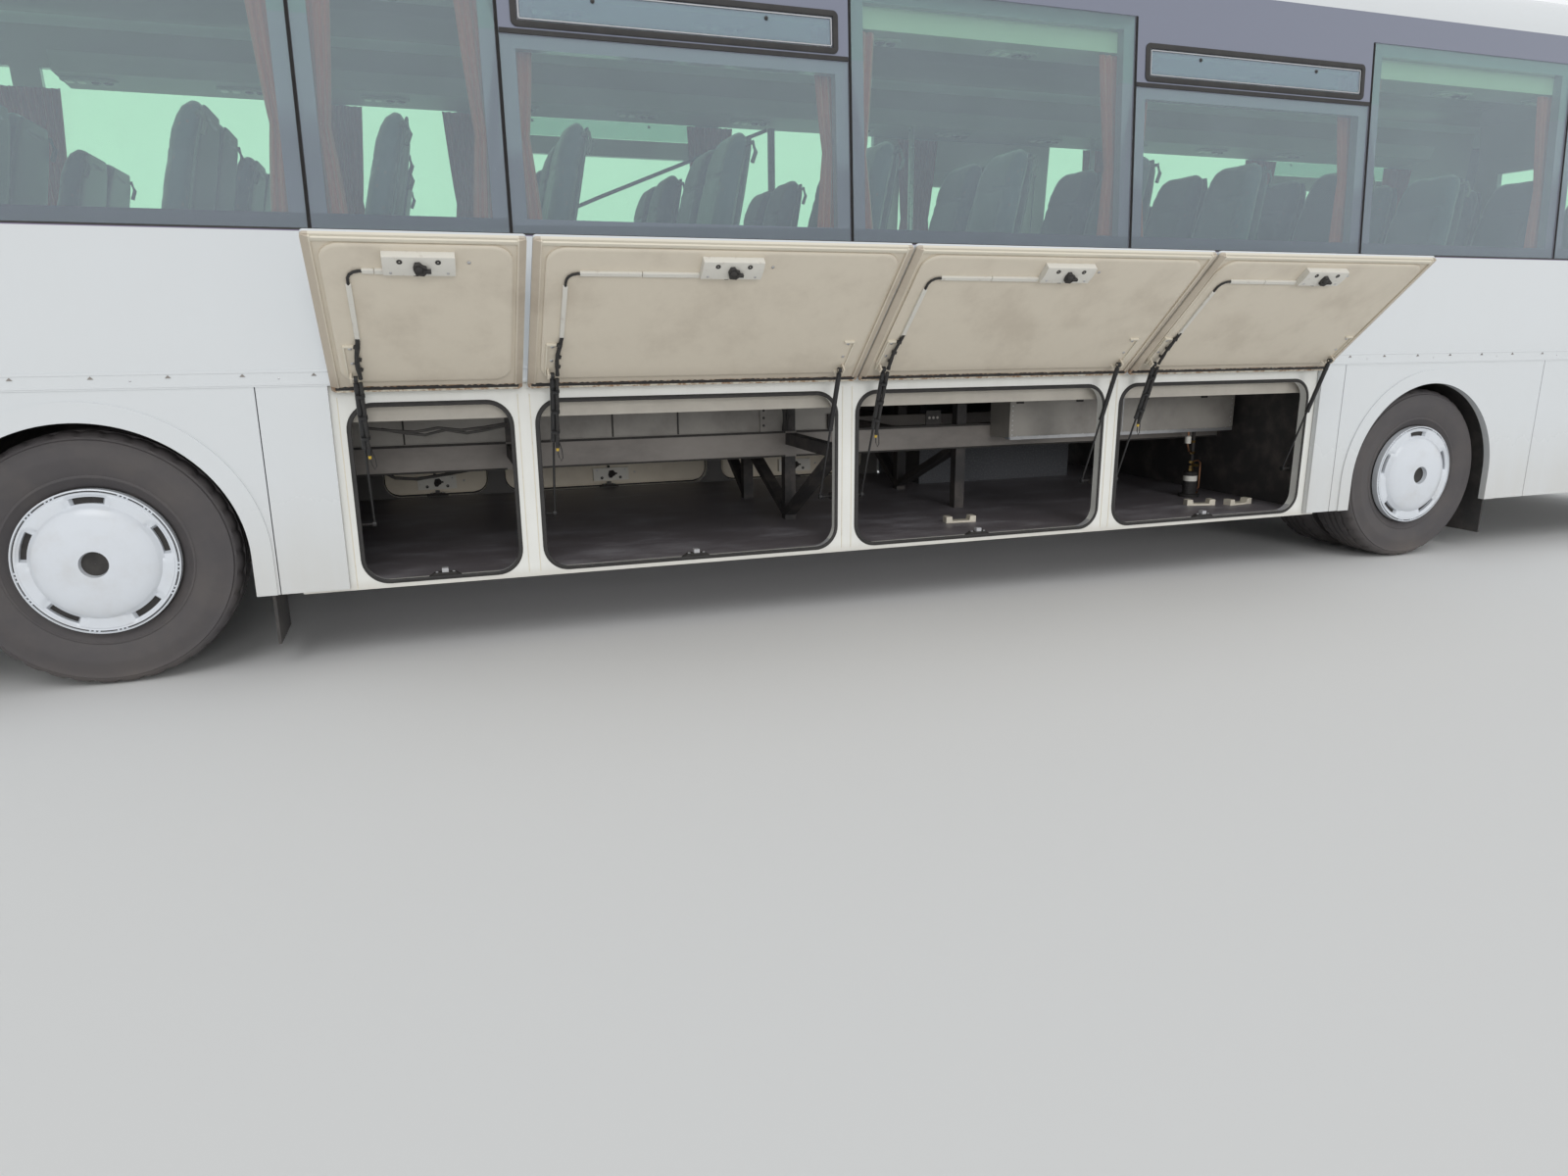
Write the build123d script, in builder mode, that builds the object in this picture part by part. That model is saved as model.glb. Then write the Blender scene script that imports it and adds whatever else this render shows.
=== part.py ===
from build123d import *
import math
import os

os.makedirs("parts", exist_ok=True)

# Touring coach with underfloor luggage bays, in millimetres: X forward, Y left, Z up, ground at zero.
# Stations are distances aft of the front axle, turned into X by at().

# Overall
LENGTH = 12700
WIDTH = 2500
ROOF_TOP = 3180
EAVE_Z = 3105
EAVE_RADIUS = 210
WHEELBASE = 6700
FRONT_OVERHANG = 2720
NOSE_X = LENGTH / 2
TAIL_X = -LENGTH / 2
FRONT_AXLE_X = NOSE_X - FRONT_OVERHANG
REAR_AXLE_X = FRONT_AXLE_X - WHEELBASE
SIDE_Y = WIDTH / 2
NOSE_BOW = 190
NOSE_CORNER = 300
TAIL_BOW = 60
TAIL_CORNER = 150
FRONT_CUT_S = -2240
REAR_CUT_S = LENGTH - FRONT_OVERHANG - 280

# Heights of the body's bands
SILL_Z = 309
SKIRT_Z = 324
WAIST_Z = 1139
RAIL_TOP = 1202
RAIL_PROUD = 3
WINDOW_Z = 1713
BAND_Z = 2765
COVE_Z = 2905
LEAN = 0.066
WALL = 55
GLASS = 8
PANEL = 30
PANEL_GAP = 4

# Plans of the body: height, nose X, tail X
FORM_LEVELS = [
    (0, NOSE_X - 80, TAIL_X + 40),
    (650, NOSE_X, TAIL_X),
    (1200, NOSE_X, TAIL_X),
    (2700, NOSE_X - 190, TAIL_X + 60),
    (2960, NOSE_X - 280, TAIL_X + 130),
    (ROOF_TOP + 10, NOSE_X - 620, TAIL_X + 420),
]

# Side glass: front station, rear station, bottom, opening top light
LAST_GLASS_S = REAR_CUT_S - 740
LEFT_PANES = [
    (-2225, -600, 1420, False),
    (-590, 876, WINDOW_Z, False),
    (884, 1611, WINDOW_Z, False),
    (1619, 3081, WINDOW_Z, True),
    (3089, 4551, WINDOW_Z, False),
    (4559, 6021, WINDOW_Z, True),
    (6029, 7491, WINDOW_Z, False),
    (7499, LAST_GLASS_S, WINDOW_Z, False),
]
RIGHT_PANES = [
    (-1190, -600, WINDOW_Z, False),
    (-590, 876, WINDOW_Z, False),
    (884, 1611, WINDOW_Z, False),
    (1619, 3081, WINDOW_Z, True),
    (3089, 4300, WINDOW_Z, False),
    (5550, 6021, WINDOW_Z, False),
    (6029, 7491, WINDOW_Z, False),
    (7499, LAST_GLASS_S, WINDOW_Z, True),
]
FRIT = 62
HOPPER_Z = 2468
HOPPER_BAR = 26
HOPPER_INSET = 60
HOPPER_TOP = 2645
HOPPER_EDGE = 12
DOOR_STILE = 90
DOOR_GLASS_Z = 620
DOOR_BED = 14
DOOR_EDGE = 20
DOOR_THICK = 45
HATCHES = (1500, 6900)
HATCH = 760
HATCH_PROUD = 35

# Wheels
TYRE_RADIUS = 495
TYRE_WIDTH = 290
TYRE_Y = 1058
TWIN_PITCH = 335
RIM_RADIUS = 286
COVER_RADIUS = 281
COVER_Y = 1204
HUB_PROUD = 44
ARCH_RADIUS = 536
ARCH_Z = 489
FLANGE = 76
FLANGE_PROUD = 8
HOUSING_RADIUS = 575
HOUSING_WALL = 14
HOUSING_Y = 556
LINER_Z = 400
AXLE_NOTCH = (200, 640)
FLAP_Z = 110
COVER_HOLE = 50
COVER_SLOTS = 5
SLOT_HALF = 11
SLOT_DEEP = 24
HUB_START = -20
SPINDLE_END = 1150
KINGPIN_Y = 950
KINGPIN_RADIUS = 24
KNUCKLE_BOSS = 42
BOSS_HALF = 60
YOKE = 28
BEAM_DROP = 110
BEAM_CLEAR = 22
BELLOWS = 110
BELLOWS_X = 330
REAR_TUBE = 70
REAR_TUBE_END = 990
DIFF_RADIUS = 190
SPINDLE_RADIUS = 45
FIT = 0.05

# Lower side panels: front station, rear station
ARCH_SPAN = (WHEELBASE - 671, WHEELBASE + 870)
TAIL_SPANS = [ARCH_SPAN, (ARCH_SPAN[1], ARCH_SPAN[1] + 1060), (ARCH_SPAN[1] + 1060, REAR_CUT_S)]
LEFT_SPANS = [(FRONT_CUT_S, -760), (-760, 623), (623, 880), (WHEELBASE - 834, ARCH_SPAN[0])] + TAIL_SPANS
RIGHT_SPANS = [(-1225, 623), (623, 880), (4262, 4340), (5510, ARCH_SPAN[0])] + TAIL_SPANS

# Luggage lids: front station, rear station, front strut, rear strut
LEFT_LIDS = [
    (895, 1614, True, False),
    (1635, 3095, True, True),
    (3105, 4560, True, True),
    (4575, WHEELBASE - 850, True, True),
]
RIGHT_LIDS = [
    (895, 1614),
    (1635, 3095),
    (3105, 4250),
]
LEFT_BAYS = [(937, 1567), (1671, 3026), (3129, 4489), (4590, WHEELBASE - 885)]
RIGHT_BAYS = [(937, 1567), (1671, 3026), (3129, 4180)]
BAY_BOTTOM = 336
BAY_TOP = 1059
BAY_CORNER = 100
WEB_REACH = BAY_CORNER - 15
BAY_Y = 1215
BAY_FRAME = 50
BAY_FRONT_S = 700
BAY_REAR_S = WHEELBASE - 750
BAY_FLOOR = 30
LID_OPEN = 132.5
LID_START = 14
LID_LENGTH = 802
LID_SKIN = 22
LID_THICK = 30
LID_CORNER = 14
HINGE_Y = SIDE_Y
HINGE_Z = 1122
HINGE_RADIUS = 6
CHANNEL_INNER = 6.3
CHANNEL_OUTER = 10
CHANNEL_WEB = 9
NECK = 4
LID_RAISE_START = 85
LID_RAISE_END = 752
LID_RAISE_SIDE = 22
LID_RAISE_CORNER = 70
LATCH_START = 664
LATCH_END = 744
LATCH_LONG = 230
LATCH_DEEP = 30
STRIKER = (26, 1172, 1200, 34)
PAD_START = 115
PAD_END = 285
PAD_WIDTH = 38
PAD_THICK = 10
EAR = 8
EAR_CLEAR = 2
EAR_PAST = 10
SEAL_WIDTH = 20
SEAL_THICK = 7

# Gas struts, in a lid's own directions: along it from the hinge, and in from its outer face
STRUT_ALONG = 130
STRUT_IN = 58
STRUT_INSET = 55
STRUT_FOOT_Y = 1150
STRUT_FOOT_Z = 570
BARREL_RADIUS = 11
BARREL_START = 17
BARREL_LENGTH = 290
ROD_RADIUS = 5
ROD_OVERLAP = 30
EYE_RADIUS = 12
EYE_WIDTH = 14
BORE_DEPTH = 256
FOOT_GAP = 0.5
FOOT_PLATE = 12
FOOT_SHELF = 6
FOOT_HALF = 16

# Doors: front station, rear station, bottom, top
FRONT_DOOR = (-2235, -1225, 340, 2560)
MID_DOOR = (4340, 5510, 340, 2420)
DOOR_GAP = 6

# Ends
BUMPER_Z = 290
BUMPER_TOP = 575
BUMPER_PROUD = 18
SCREEN = (1150, 1230, 2680)
REAR_SCREEN = (1020, 1760, 2640)
ENGINE_LID = (900, 660, 1500)
ENGINE_LID_AXIS = 9
ENGINE_LID_THICK = 30
HINGE_SPAN = (512, 560)
LAMP_Z = 800
LAMP_HIGH = 190
LAMP_DEEP = 40
TAIL_LAMP = (760, 1400)
TOW_Y = 420
TOW_Z = 430
TOW_RADIUS = 20
TOW_WALL = 12
TOW_FRONT_X = NOSE_X - 10
TOW_REAR_X = TAIL_X - 12
TOW_LONG = 110

# Floors and frame
FLOOR_TOP = 1150
FLOOR = 55
CAB_FLOOR = 860
CAB_REAR_S = -750
STAIR_Y = 560
CAB_DECK = 45
STEP_WALL = 20
STEP_RISE = 240
BEAM = 60
BRACE = 40
BULKHEAD = 20
OUTRIGGER_Z = 775

# Cross-frames: station, outrigger to the left side, side whose post carries the cross brace
FRAMES = [
    (1619, True, 0),
    (3078, True, 1),
    (4120, False, -1),
    (4540, False, 0),
]
BEARER = (1090, 1150, 988)
TUNNEL = (720, 1619, 3078, 3330)
TUNNEL_SHEET = 20
RAIL_TIES = (-1900, -700, 640, 2300, 3800, 5200, 7600, 8250)
DUCT = (4300, WHEELBASE - 850, 640, 745, 950)
DRYER_S = WHEELBASE - 1060
DRYER_Y = 560
DRYER = (38, 150)
DRYER_FOOT = (60, 14)
DRYER_PIPE = 11
ENGINE = (TAIL_X + 400, TAIL_X + 1600, -350, 350, 430, 1090)
RAIL_Y = 350
RAIL_WIDTH = 80
RAIL_Z = 680
RAIL_HEIGHT = 135
TIE = 60
TIE_STEP = 20
JACK_STATIONS = (-1200, WHEELBASE - 670)
JACK_PAD = (120, 70, 10)

# Seats: front row's back, pitch, rows
SEAT_FIRST_S = -270
SEAT_PITCH = 715
SEAT_ROWS = 13
SEAT_WIDTH = 430
SEAT_AISLE = 215
SEAT_PART = 12
SEAT_CLEAR = 300
SEAT_GAP = 0.3
SEAT_OUTLINE = [
    (60, 0), (390, 0), (390, 290), (520, 300), (540, 360), (520, 430), (130, 440), (-20, 1030), (-55, 1062),
    (-110, 1050), (-120, 1000), (20, 400), (60, 290),
]
DRIVER_S = -1150
DRIVER_Y = 620
DASH_OUTLINE = [(-60, 0), (-60, 620), (-260, 660), (-430, 560), (-430, 480), (-300, 300), (-300, 0)]
WHEEL_RADIUS = 230
RACK = (-400, REAR_CUT_S - 800)
RACK_Z = 2610
RACK_Y = 800
CURTAIN = 240
CURTAINS = (-595, 880, 1615, 3085, 4555, 6025, 7495, REAR_CUT_S - 800)

MIRROR_REACH = 1500
MIRROR_HEAD = (120, 190, 480)
MIRROR_TUBE = 20
MIRROR_ARM = [(5690, 1265, 2800), (6150, 1375, 2770), (6330, 1405, 2640), (6330, 1405, 2450)]

lid_angle = math.radians(LID_OPEN - 90)
LID_REACH = HINGE_Y + LID_LENGTH * math.cos(lid_angle) + LID_SKIN * math.sin(lid_angle)
MID_Y = (MIRROR_REACH - LID_REACH) / 2


def at(station):
    """X of a station aft of the front axle."""
    return FRONT_AXLE_X - station


def side_at(height, inset=0):
    """Distance of the side from the mid-plane at a height."""
    return SIDE_Y - LEAN * max(0, height - WINDOW_Z) - inset * math.sqrt(1 + LEAN**2)


def write(piece, name):
    """Label a piece, put its mid-plane at MID_Y and write it."""
    piece.part.label = name
    placed = piece.part.moved(Location((0, MID_Y, 0)))
    placed.label = name
    export_step(placed, f"parts/{name}.step")


def block(x0, x1, y0, y1, z0, z1, mode=Mode.ADD):
    """Box between two corners, in the builder that calls it."""
    with Locations(((x0 + x1) / 2, (y0 + y1) / 2, (z0 + z1) / 2)):
        Box(abs(x1 - x0), abs(y1 - y0), abs(z1 - z0), mode=mode)


def hull(inset):
    """Body form moved in by inset: plans at a few heights, trimmed by its end view."""
    side = SIDE_Y - inset
    with BuildPart() as form:
        for height, nose, tail in FORM_LEVELS:
            with BuildSketch(Plane.XY.offset(height)) as plan:
                with BuildLine():
                    front = ThreePointArc(
                        (nose - inset - NOSE_BOW, -side), (nose - inset, 0), (nose - inset - NOSE_BOW, side)
                    )
                    back = ThreePointArc(
                        (tail + inset + TAIL_BOW, side), (tail + inset, 0), (tail + inset + TAIL_BOW, -side)
                    )
                    Line(front @ 1, back @ 0)
                    Line(back @ 1, front @ 0)
                make_face()
                fillet(plan.vertices().group_by(Axis.X)[-1], NOSE_CORNER - inset)
                fillet(plan.vertices().group_by(Axis.X)[0], TAIL_CORNER - inset)
        loft(ruled=True)
        with BuildSketch(Plane.YZ) as section:
            with BuildLine():
                eave = side_at(EAVE_Z)
                crown = ThreePointArc((eave, EAVE_Z), (0, ROOF_TOP), (-eave, EAVE_Z))
                Polyline(crown @ 1, (-SIDE_Y, WINDOW_Z), (-SIDE_Y, -100), (SIDE_Y, -100), (SIDE_Y, WINDOW_Z),
                         crown @ 0)
            make_face()
            fillet(section.vertices().group_by(Axis.Y)[-1], EAVE_RADIUS)
            if inset != 0:
                offset(amount=-inset, mode=Mode.REPLACE)
        extrude(amount=LENGTH, both=True, mode=Mode.INTERSECT)
    return form.part


OUTER = hull(0)
BEDDED = hull(GLASS)
DOOR_STEP = hull(DOOR_EDGE)
DOOR_BACK = hull(DOOR_THICK)
INNER = hull(WALL)
LID_BACK = hull(ENGINE_LID_THICK)
PROUD = hull(-BUMPER_PROUD)
SKIN = OUTER - BEDDED
SHELL = OUTER - INNER
LAMP_SHELL = OUTER - hull(LAMP_DEEP)


# Glass and side walls
def lights(panes):
    """Glass boxes of a side: front station, rear station, bottom, top, and the frit hiding its edge."""
    found = []
    for front, rear, bottom, hopper in panes:
        if hopper:
            found.append((front, rear, bottom, HOPPER_Z, FRIT))
            found.append((front + HOPPER_INSET, rear - HOPPER_INSET, HOPPER_Z + HOPPER_BAR, HOPPER_TOP, HOPPER_EDGE))
        else:
            found.append((front, rear, bottom, BAND_Z, FRIT))
    return found


def side_wall(hand, panes, doors):
    """One wall from the waist to the cove, with rebated window openings, door openings and its waist rail."""
    with BuildPart() as rebates:
        for front, rear, bottom, top, frit in lights(panes):
            block(at(rear + PANEL_GAP), at(front - PANEL_GAP), 0, hand * 2 * SIDE_Y, bottom, top)
        add(SKIN, mode=Mode.INTERSECT)
    with BuildPart() as wall:
        add(SHELL)
        block(at(REAR_CUT_S), at(FRONT_CUT_S), 0, hand * 2 * SIDE_Y, WAIST_Z, COVE_Z, mode=Mode.INTERSECT)
        block(at(REAR_CUT_S), at(FRONT_CUT_S), hand * (SIDE_Y - 1), hand * (SIDE_Y + RAIL_PROUD), WAIST_Z, RAIL_TOP)
        add(rebates.part, mode=Mode.SUBTRACT)
        for front, rear, bottom, top, frit in lights(panes):
            block(at(rear - frit), at(front + frit), hand * 900, hand * 1400, bottom + frit, top - frit,
                  mode=Mode.SUBTRACT)
        for front, rear, bottom, top in doors:
            block(at(rear), at(front), hand * 900, hand * 1400, bottom, top, mode=Mode.SUBTRACT)
    return wall


with BuildPart() as roof:
    add(SHELL)
    split(bisect_by=Plane.XY.offset(COVE_Z), keep=Keep.TOP)
    for hatch_s in HATCHES:
        block(at(hatch_s + HATCH / 2), at(hatch_s - HATCH / 2), -HATCH / 2, HATCH / 2,
              ROOF_TOP - WALL, ROOF_TOP + HATCH_PROUD)
write(roof, "roof")

side_left = side_wall(1, LEFT_PANES, [])
write(side_left, "side_left")
side_right = side_wall(-1, RIGHT_PANES, [FRONT_DOOR, MID_DOOR])
write(side_right, "side_right")
with BuildPart() as side_glass:
    for hand, panes in ((1, LEFT_PANES), (-1, RIGHT_PANES)):
        for front, rear, bottom, top, frit in lights(panes):
            block(at(rear), at(front), 0, hand * 2 * SIDE_Y, bottom, top)
    for front, rear, bottom, top in (FRONT_DOOR, MID_DOOR):
        block(at(rear - DOOR_STILE), at(front + DOOR_STILE), 0, -2 * SIDE_Y, DOOR_GLASS_Z, top - DOOR_STILE)
    add(SKIN, mode=Mode.INTERSECT)
write(side_glass, "side_glass")


# Doors, each with a stepped edge that seats in its opening
def plug_door(front, rear, bottom, top):
    """One leaf with its window rebate and opening."""
    with BuildPart() as step:
        block(at(rear), at(front), -2 * SIDE_Y, 0, bottom, top)
        block(at(rear - DOOR_GAP), at(front + DOOR_GAP), -2 * SIDE_Y, 0, bottom + DOOR_GAP, top - DOOR_GAP,
              mode=Mode.SUBTRACT)
        add(DOOR_STEP, mode=Mode.SUBTRACT)
    with BuildPart() as pane:
        block(at(rear - DOOR_STILE), at(front + DOOR_STILE), -2 * SIDE_Y, 0, DOOR_GLASS_Z, top - DOOR_STILE)
        add(SKIN, mode=Mode.INTERSECT)
    with BuildPart() as leaf:
        add(OUTER)
        add(DOOR_BACK, mode=Mode.SUBTRACT)
        block(at(rear), at(front), -2 * SIDE_Y, 0, bottom, top, mode=Mode.INTERSECT)
        add(step.part, mode=Mode.SUBTRACT)
        add(pane.part, mode=Mode.SUBTRACT)
        block(at(rear - DOOR_STILE - DOOR_BED), at(front + DOOR_STILE + DOOR_BED), -2 * SIDE_Y, 0,
              DOOR_GLASS_Z + DOOR_BED, top - DOOR_STILE - DOOR_BED, mode=Mode.SUBTRACT)
    return leaf


with BuildPart() as passenger_doors:
    for door in (FRONT_DOOR, MID_DOOR):
        add(plug_door(*door).part)
write(passenger_doors, "passenger_doors")


# Lower sides: skirt panels with wheel arches and their rolled flanges
def skirt(hand, spans):
    """Panels between stations, parted by narrow gaps, with an arch over each axle."""
    plane = Plane((0, hand * SIDE_Y, 0), x_dir=(1, 0, 0), z_dir=(0, -1, 0))
    with BuildPart() as panels:
        with BuildSketch(plane) as outline:
            for front, rear in spans:
                with Locations(((at(rear) + at(front)) / 2, (SKIRT_Z + WAIST_Z) / 2)):
                    Rectangle(rear - front - PANEL_GAP, WAIST_Z - SKIRT_Z)
        extrude(amount=hand * PANEL)
        with BuildSketch(plane) as flanges:
            for axle in (FRONT_AXLE_X, REAR_AXLE_X):
                with Locations((axle, ARCH_Z)):
                    Circle(ARCH_RADIUS + FLANGE)
                with Locations((axle, (SKIRT_Z + ARCH_Z) / 2)):
                    Rectangle(2 * (ARCH_RADIUS + FLANGE), ARCH_Z - SKIRT_Z)
            with Locations((0, SKIRT_Z - ROOF_TOP / 2)):
                Rectangle(LENGTH, ROOF_TOP, mode=Mode.SUBTRACT)
        extrude(amount=-hand * FLANGE_PROUD)
        with BuildSketch(plane) as arches:
            for axle in (FRONT_AXLE_X, REAR_AXLE_X):
                with Locations((axle, ARCH_Z)):
                    Circle(ARCH_RADIUS)
                with Locations((axle, ARCH_Z / 2)):
                    Rectangle(2 * ARCH_RADIUS, ARCH_Z)
        extrude(amount=2 * PANEL, both=True, mode=Mode.SUBTRACT)
    return panels


with BuildPart() as skirts:
    add(skirt(1, LEFT_SPANS).part)
    add(skirt(-1, RIGHT_SPANS).part)
write(skirts, "skirts")


# Luggage bay surrounds, each with the hinge channel of its lids
def hinge_angle(degrees, radius, hand):
    """Point of the hinge channel's section, at an angle from outboard, going up."""
    turn = math.radians(degrees)
    return (hand * (HINGE_Y + radius * math.cos(turn)), HINGE_Z + radius * math.sin(turn))


def bay_surround(hand, bays, lids, rear_s):
    """Frame with one rounded opening for each bay."""
    with BuildPart() as surround:
        with BuildSketch(Plane((0, hand * BAY_Y, 0), x_dir=(1, 0, 0), z_dir=(0, -1, 0))):
            with Locations(((at(BAY_FRONT_S) + at(rear_s)) / 2, (SILL_Z + FLOOR_TOP - FLOOR) / 2)):
                Rectangle(rear_s - BAY_FRONT_S, FLOOR_TOP - FLOOR - SILL_Z)
            for front, rear in bays:
                with Locations(((at(front) + at(rear)) / 2, (BAY_BOTTOM + BAY_TOP) / 2)):
                    RectangleRounded(rear - front, BAY_TOP - BAY_BOTTOM, BAY_CORNER, mode=Mode.SUBTRACT)
        extrude(amount=hand * BAY_FRAME)
        block(at(rear_s), at(BAY_FRONT_S), hand * (SIDE_Y - WALL), hand * BAY_Y, FLOOR_TOP - FLOOR - 1, WAIST_Z)
        for front, rear, *struts in lids:
            with BuildSketch(Plane.YZ.offset(at(rear))):
                with BuildLine():
                    outer = ThreePointArc(*[hinge_angle(turn, CHANNEL_OUTER, hand) for turn in (75, 158, 241)])
                    inner = ThreePointArc(*[hinge_angle(turn, CHANNEL_INNER, hand) for turn in (75, 158, 241)])
                    Line(outer @ 0, inner @ 0)
                    Line(outer @ 1, inner @ 1)
                make_face()
                with Locations((hand * (BAY_Y + HINGE_Y - 4) / 2, WAIST_Z - CHANNEL_WEB / 2)):
                    Rectangle(HINGE_Y - 4 - BAY_Y, CHANNEL_WEB)
            extrude(amount=rear - front)
        for front, rear in bays:
            middle = at((front + rear) / 2)
            block(middle - STRIKER[0] / 2, middle + STRIKER[0] / 2, hand * STRIKER[1], hand * STRIKER[2],
                  BAY_BOTTOM - 4, BAY_BOTTOM + STRIKER[3])
    return surround


def strut_stations(front, rear, struts, bays):
    """Stations of a lid's struts, set in from the sides of the bay that it covers."""
    found = []
    for bay_front, bay_rear in bays:
        if front < bay_front < rear and any(struts):
            if struts[0]:
                found.append(bay_front + STRUT_INSET)
            if struts[1]:
                found.append(bay_rear - STRUT_INSET)
    return found


# Left side: header and sill run the whole length, and pillars with the corner webs stand between them
left_frame = bay_surround(1, LEFT_BAYS, LEFT_LIDS, BAY_REAR_S)
left_edges = [BAY_FRONT_S] + [edge for bay in LEFT_BAYS for edge in bay] + [BAY_REAR_S]
with BuildPart() as pillar_zones:
    for front, rear in zip(left_edges[::2], left_edges[1::2]):
        block(at(rear + WEB_REACH), at(front - WEB_REACH), 0, SIDE_Y + WALL, BAY_BOTTOM, BAY_TOP)
with BuildPart() as bay_surround_left:
    add(left_frame.part)
    add(pillar_zones.part, mode=Mode.SUBTRACT)
write(bay_surround_left, "bay_surround_left")
with BuildPart() as bay_pillars_left:
    add(left_frame.part)
    add(pillar_zones.part, mode=Mode.INTERSECT)
write(bay_pillars_left, "bay_pillars_left")
with BuildPart() as strut_brackets:
    for front, rear, *struts in LEFT_LIDS:
        for station in strut_stations(front, rear, struts, LEFT_BAYS):
            toward = 1 if station < (front + rear) / 2 else -1
            edge = at(station) + toward * STRUT_INSET
            tip = at(station) + toward * (EYE_WIDTH / 2 + FOOT_GAP)
            block(edge + toward * FOOT_PLATE, edge - toward * FOOT_SHELF, STRUT_FOOT_Y - FOOT_HALF,
                  BAY_Y - BAY_FRAME, STRUT_FOOT_Z - FOOT_HALF, STRUT_FOOT_Z + FOOT_HALF)
            with Locations(Plane((tip, STRUT_FOOT_Y, STRUT_FOOT_Z), z_dir=(toward, 0, 0))):
                Cylinder(ROD_RADIUS, abs(edge - tip), align=(Align.CENTER, Align.CENTER, Align.MIN))
write(strut_brackets, "strut_brackets")
bay_surround_right = bay_surround(-1, RIGHT_BAYS, RIGHT_LIDS, MID_DOOR[0] - PANEL)
write(bay_surround_right, "bay_surround_right")

with BuildPart() as bay_seals:
    for hand, bays in ((1, LEFT_BAYS), (-1, RIGHT_BAYS)):
        with BuildSketch(Plane((0, hand * BAY_Y, 0), x_dir=(1, 0, 0), z_dir=(0, -1, 0))):
            for front, rear in bays:
                with Locations(((at(front) + at(rear)) / 2, (BAY_BOTTOM + BAY_TOP) / 2)):
                    RectangleRounded(rear - front + SEAL_WIDTH, BAY_TOP - BAY_BOTTOM + SEAL_WIDTH,
                                     BAY_CORNER + SEAL_WIDTH / 2)
                    RectangleRounded(rear - front - SEAL_WIDTH, BAY_TOP - BAY_BOTTOM - SEAL_WIDTH,
                                     BAY_CORNER - SEAL_WIDTH / 2, mode=Mode.SUBTRACT)
        extrude(amount=-hand * SEAL_THICK)
write(bay_seals, "bay_seals")


# Luggage lids: drawn flat with their hinge line on X, Y along the lid and Z out of its face
def lid_plane(hand, opened, station):
    """Plane of a lid's outer face: origin on the hinge, X along it, Y down the lid."""
    turn = math.radians(opened - 90)
    return Plane((at(station), hand * HINGE_Y, HINGE_Z), x_dir=(hand, 0, 0),
                 z_dir=(0, -hand * math.sin(turn), math.cos(turn)))


def luggage_lid(hand, front, rear, bay, struts, opened):
    """Lid with its hinge bead, raised inner panel, latch and strut brackets."""
    middle = (front + rear) / 2
    long = rear - front
    raised = hand * (at(sum(bay) / 2) - at(middle))
    face = lid_plane(hand, opened, middle)
    with BuildPart() as lid:
        with BuildSketch(face):
            with Locations((0, (LID_START + LID_LENGTH) / 2)):
                RectangleRounded(long, LID_LENGTH - LID_START, LID_CORNER)
        extrude(amount=-LID_SKIN)
        with BuildSketch(face.offset(-LID_SKIN)):
            with Locations((raised, (LID_RAISE_START + LID_RAISE_END) / 2)):
                RectangleRounded(bay[1] - bay[0] - 2 * LID_RAISE_SIDE, LID_RAISE_END - LID_RAISE_START,
                                 LID_RAISE_CORNER)
        extrude(amount=-(LID_THICK - LID_SKIN))
        with BuildSketch(face):
            with Locations((0, (LID_START + HINGE_RADIUS) / 2)):
                Rectangle(long, LID_START - HINGE_RADIUS + 4)
        extrude(amount=NECK / 2, both=True)
        with Locations(face * Location((0, 0, 0), (0, 90, 0))):
            Cylinder(HINGE_RADIUS, long)
        with Locations(face * Location((0, (LATCH_START + LATCH_END) / 2, -LID_THICK - LATCH_DEEP / 2))):
            Box(LATCH_LONG, LATCH_END - LATCH_START, LATCH_DEEP)
        for station in struts:
            x = hand * (at(station) - at(middle))
            toward = hand if station < middle else -hand
            pad = face * Location((x + toward * EAR / 2, (PAD_START + PAD_END) / 2, -LID_SKIN - PAD_THICK / 2))
            with Locations(pad):
                Box(PAD_WIDTH, PAD_END - PAD_START, PAD_THICK)
            ear = BARREL_RADIUS + EAR_CLEAR + EAR / 2
            ear_end = STRUT_IN + EAR_PAST
            with Locations(face * Location((x + toward * ear, STRUT_ALONG, -(LID_SKIN + ear_end) / 2))):
                Box(EAR, 2 * EYE_RADIUS, ear_end - LID_SKIN)
            pin_x = x + toward * (ear - EYE_WIDTH / 2) / 2
            with Locations(face * Location((pin_x, STRUT_ALONG, -STRUT_IN), (0, 90, 0))):
                Cylinder(ROD_RADIUS, EYE_WIDTH / 2 + ear)
    return lid


for number, (front, rear, ahead, behind) in enumerate(LEFT_LIDS, 1):
    stations = strut_stations(front, rear, (ahead, behind), LEFT_BAYS)
    lid = luggage_lid(1, front, rear, LEFT_BAYS[number - 1], stations, LID_OPEN)
    write(lid, f"lid_left_{number}")
for number, (front, rear) in enumerate(RIGHT_LIDS, 1):
    lid = luggage_lid(-1, front, rear, RIGHT_BAYS[number - 1], [], 0)
    write(lid, f"lid_right_{number}")


# Gas struts of the left lids, drawn from the lid's pin to the foot
def lid_point(along, inward, opened):
    """Y and Z of a point of a left lid at an opening angle."""
    turn = math.radians(opened - 90)
    return (HINGE_Y + along * math.cos(turn) + inward * math.sin(turn),
            HINGE_Z + along * math.sin(turn) - inward * math.cos(turn))


pin_y, pin_z = lid_point(STRUT_ALONG, STRUT_IN, LID_OPEN)
strut_run = math.hypot(STRUT_FOOT_Y - pin_y, STRUT_FOOT_Z - pin_z)
strut_dir = (0, (STRUT_FOOT_Y - pin_y) / strut_run, (STRUT_FOOT_Z - pin_z) / strut_run)

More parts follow.
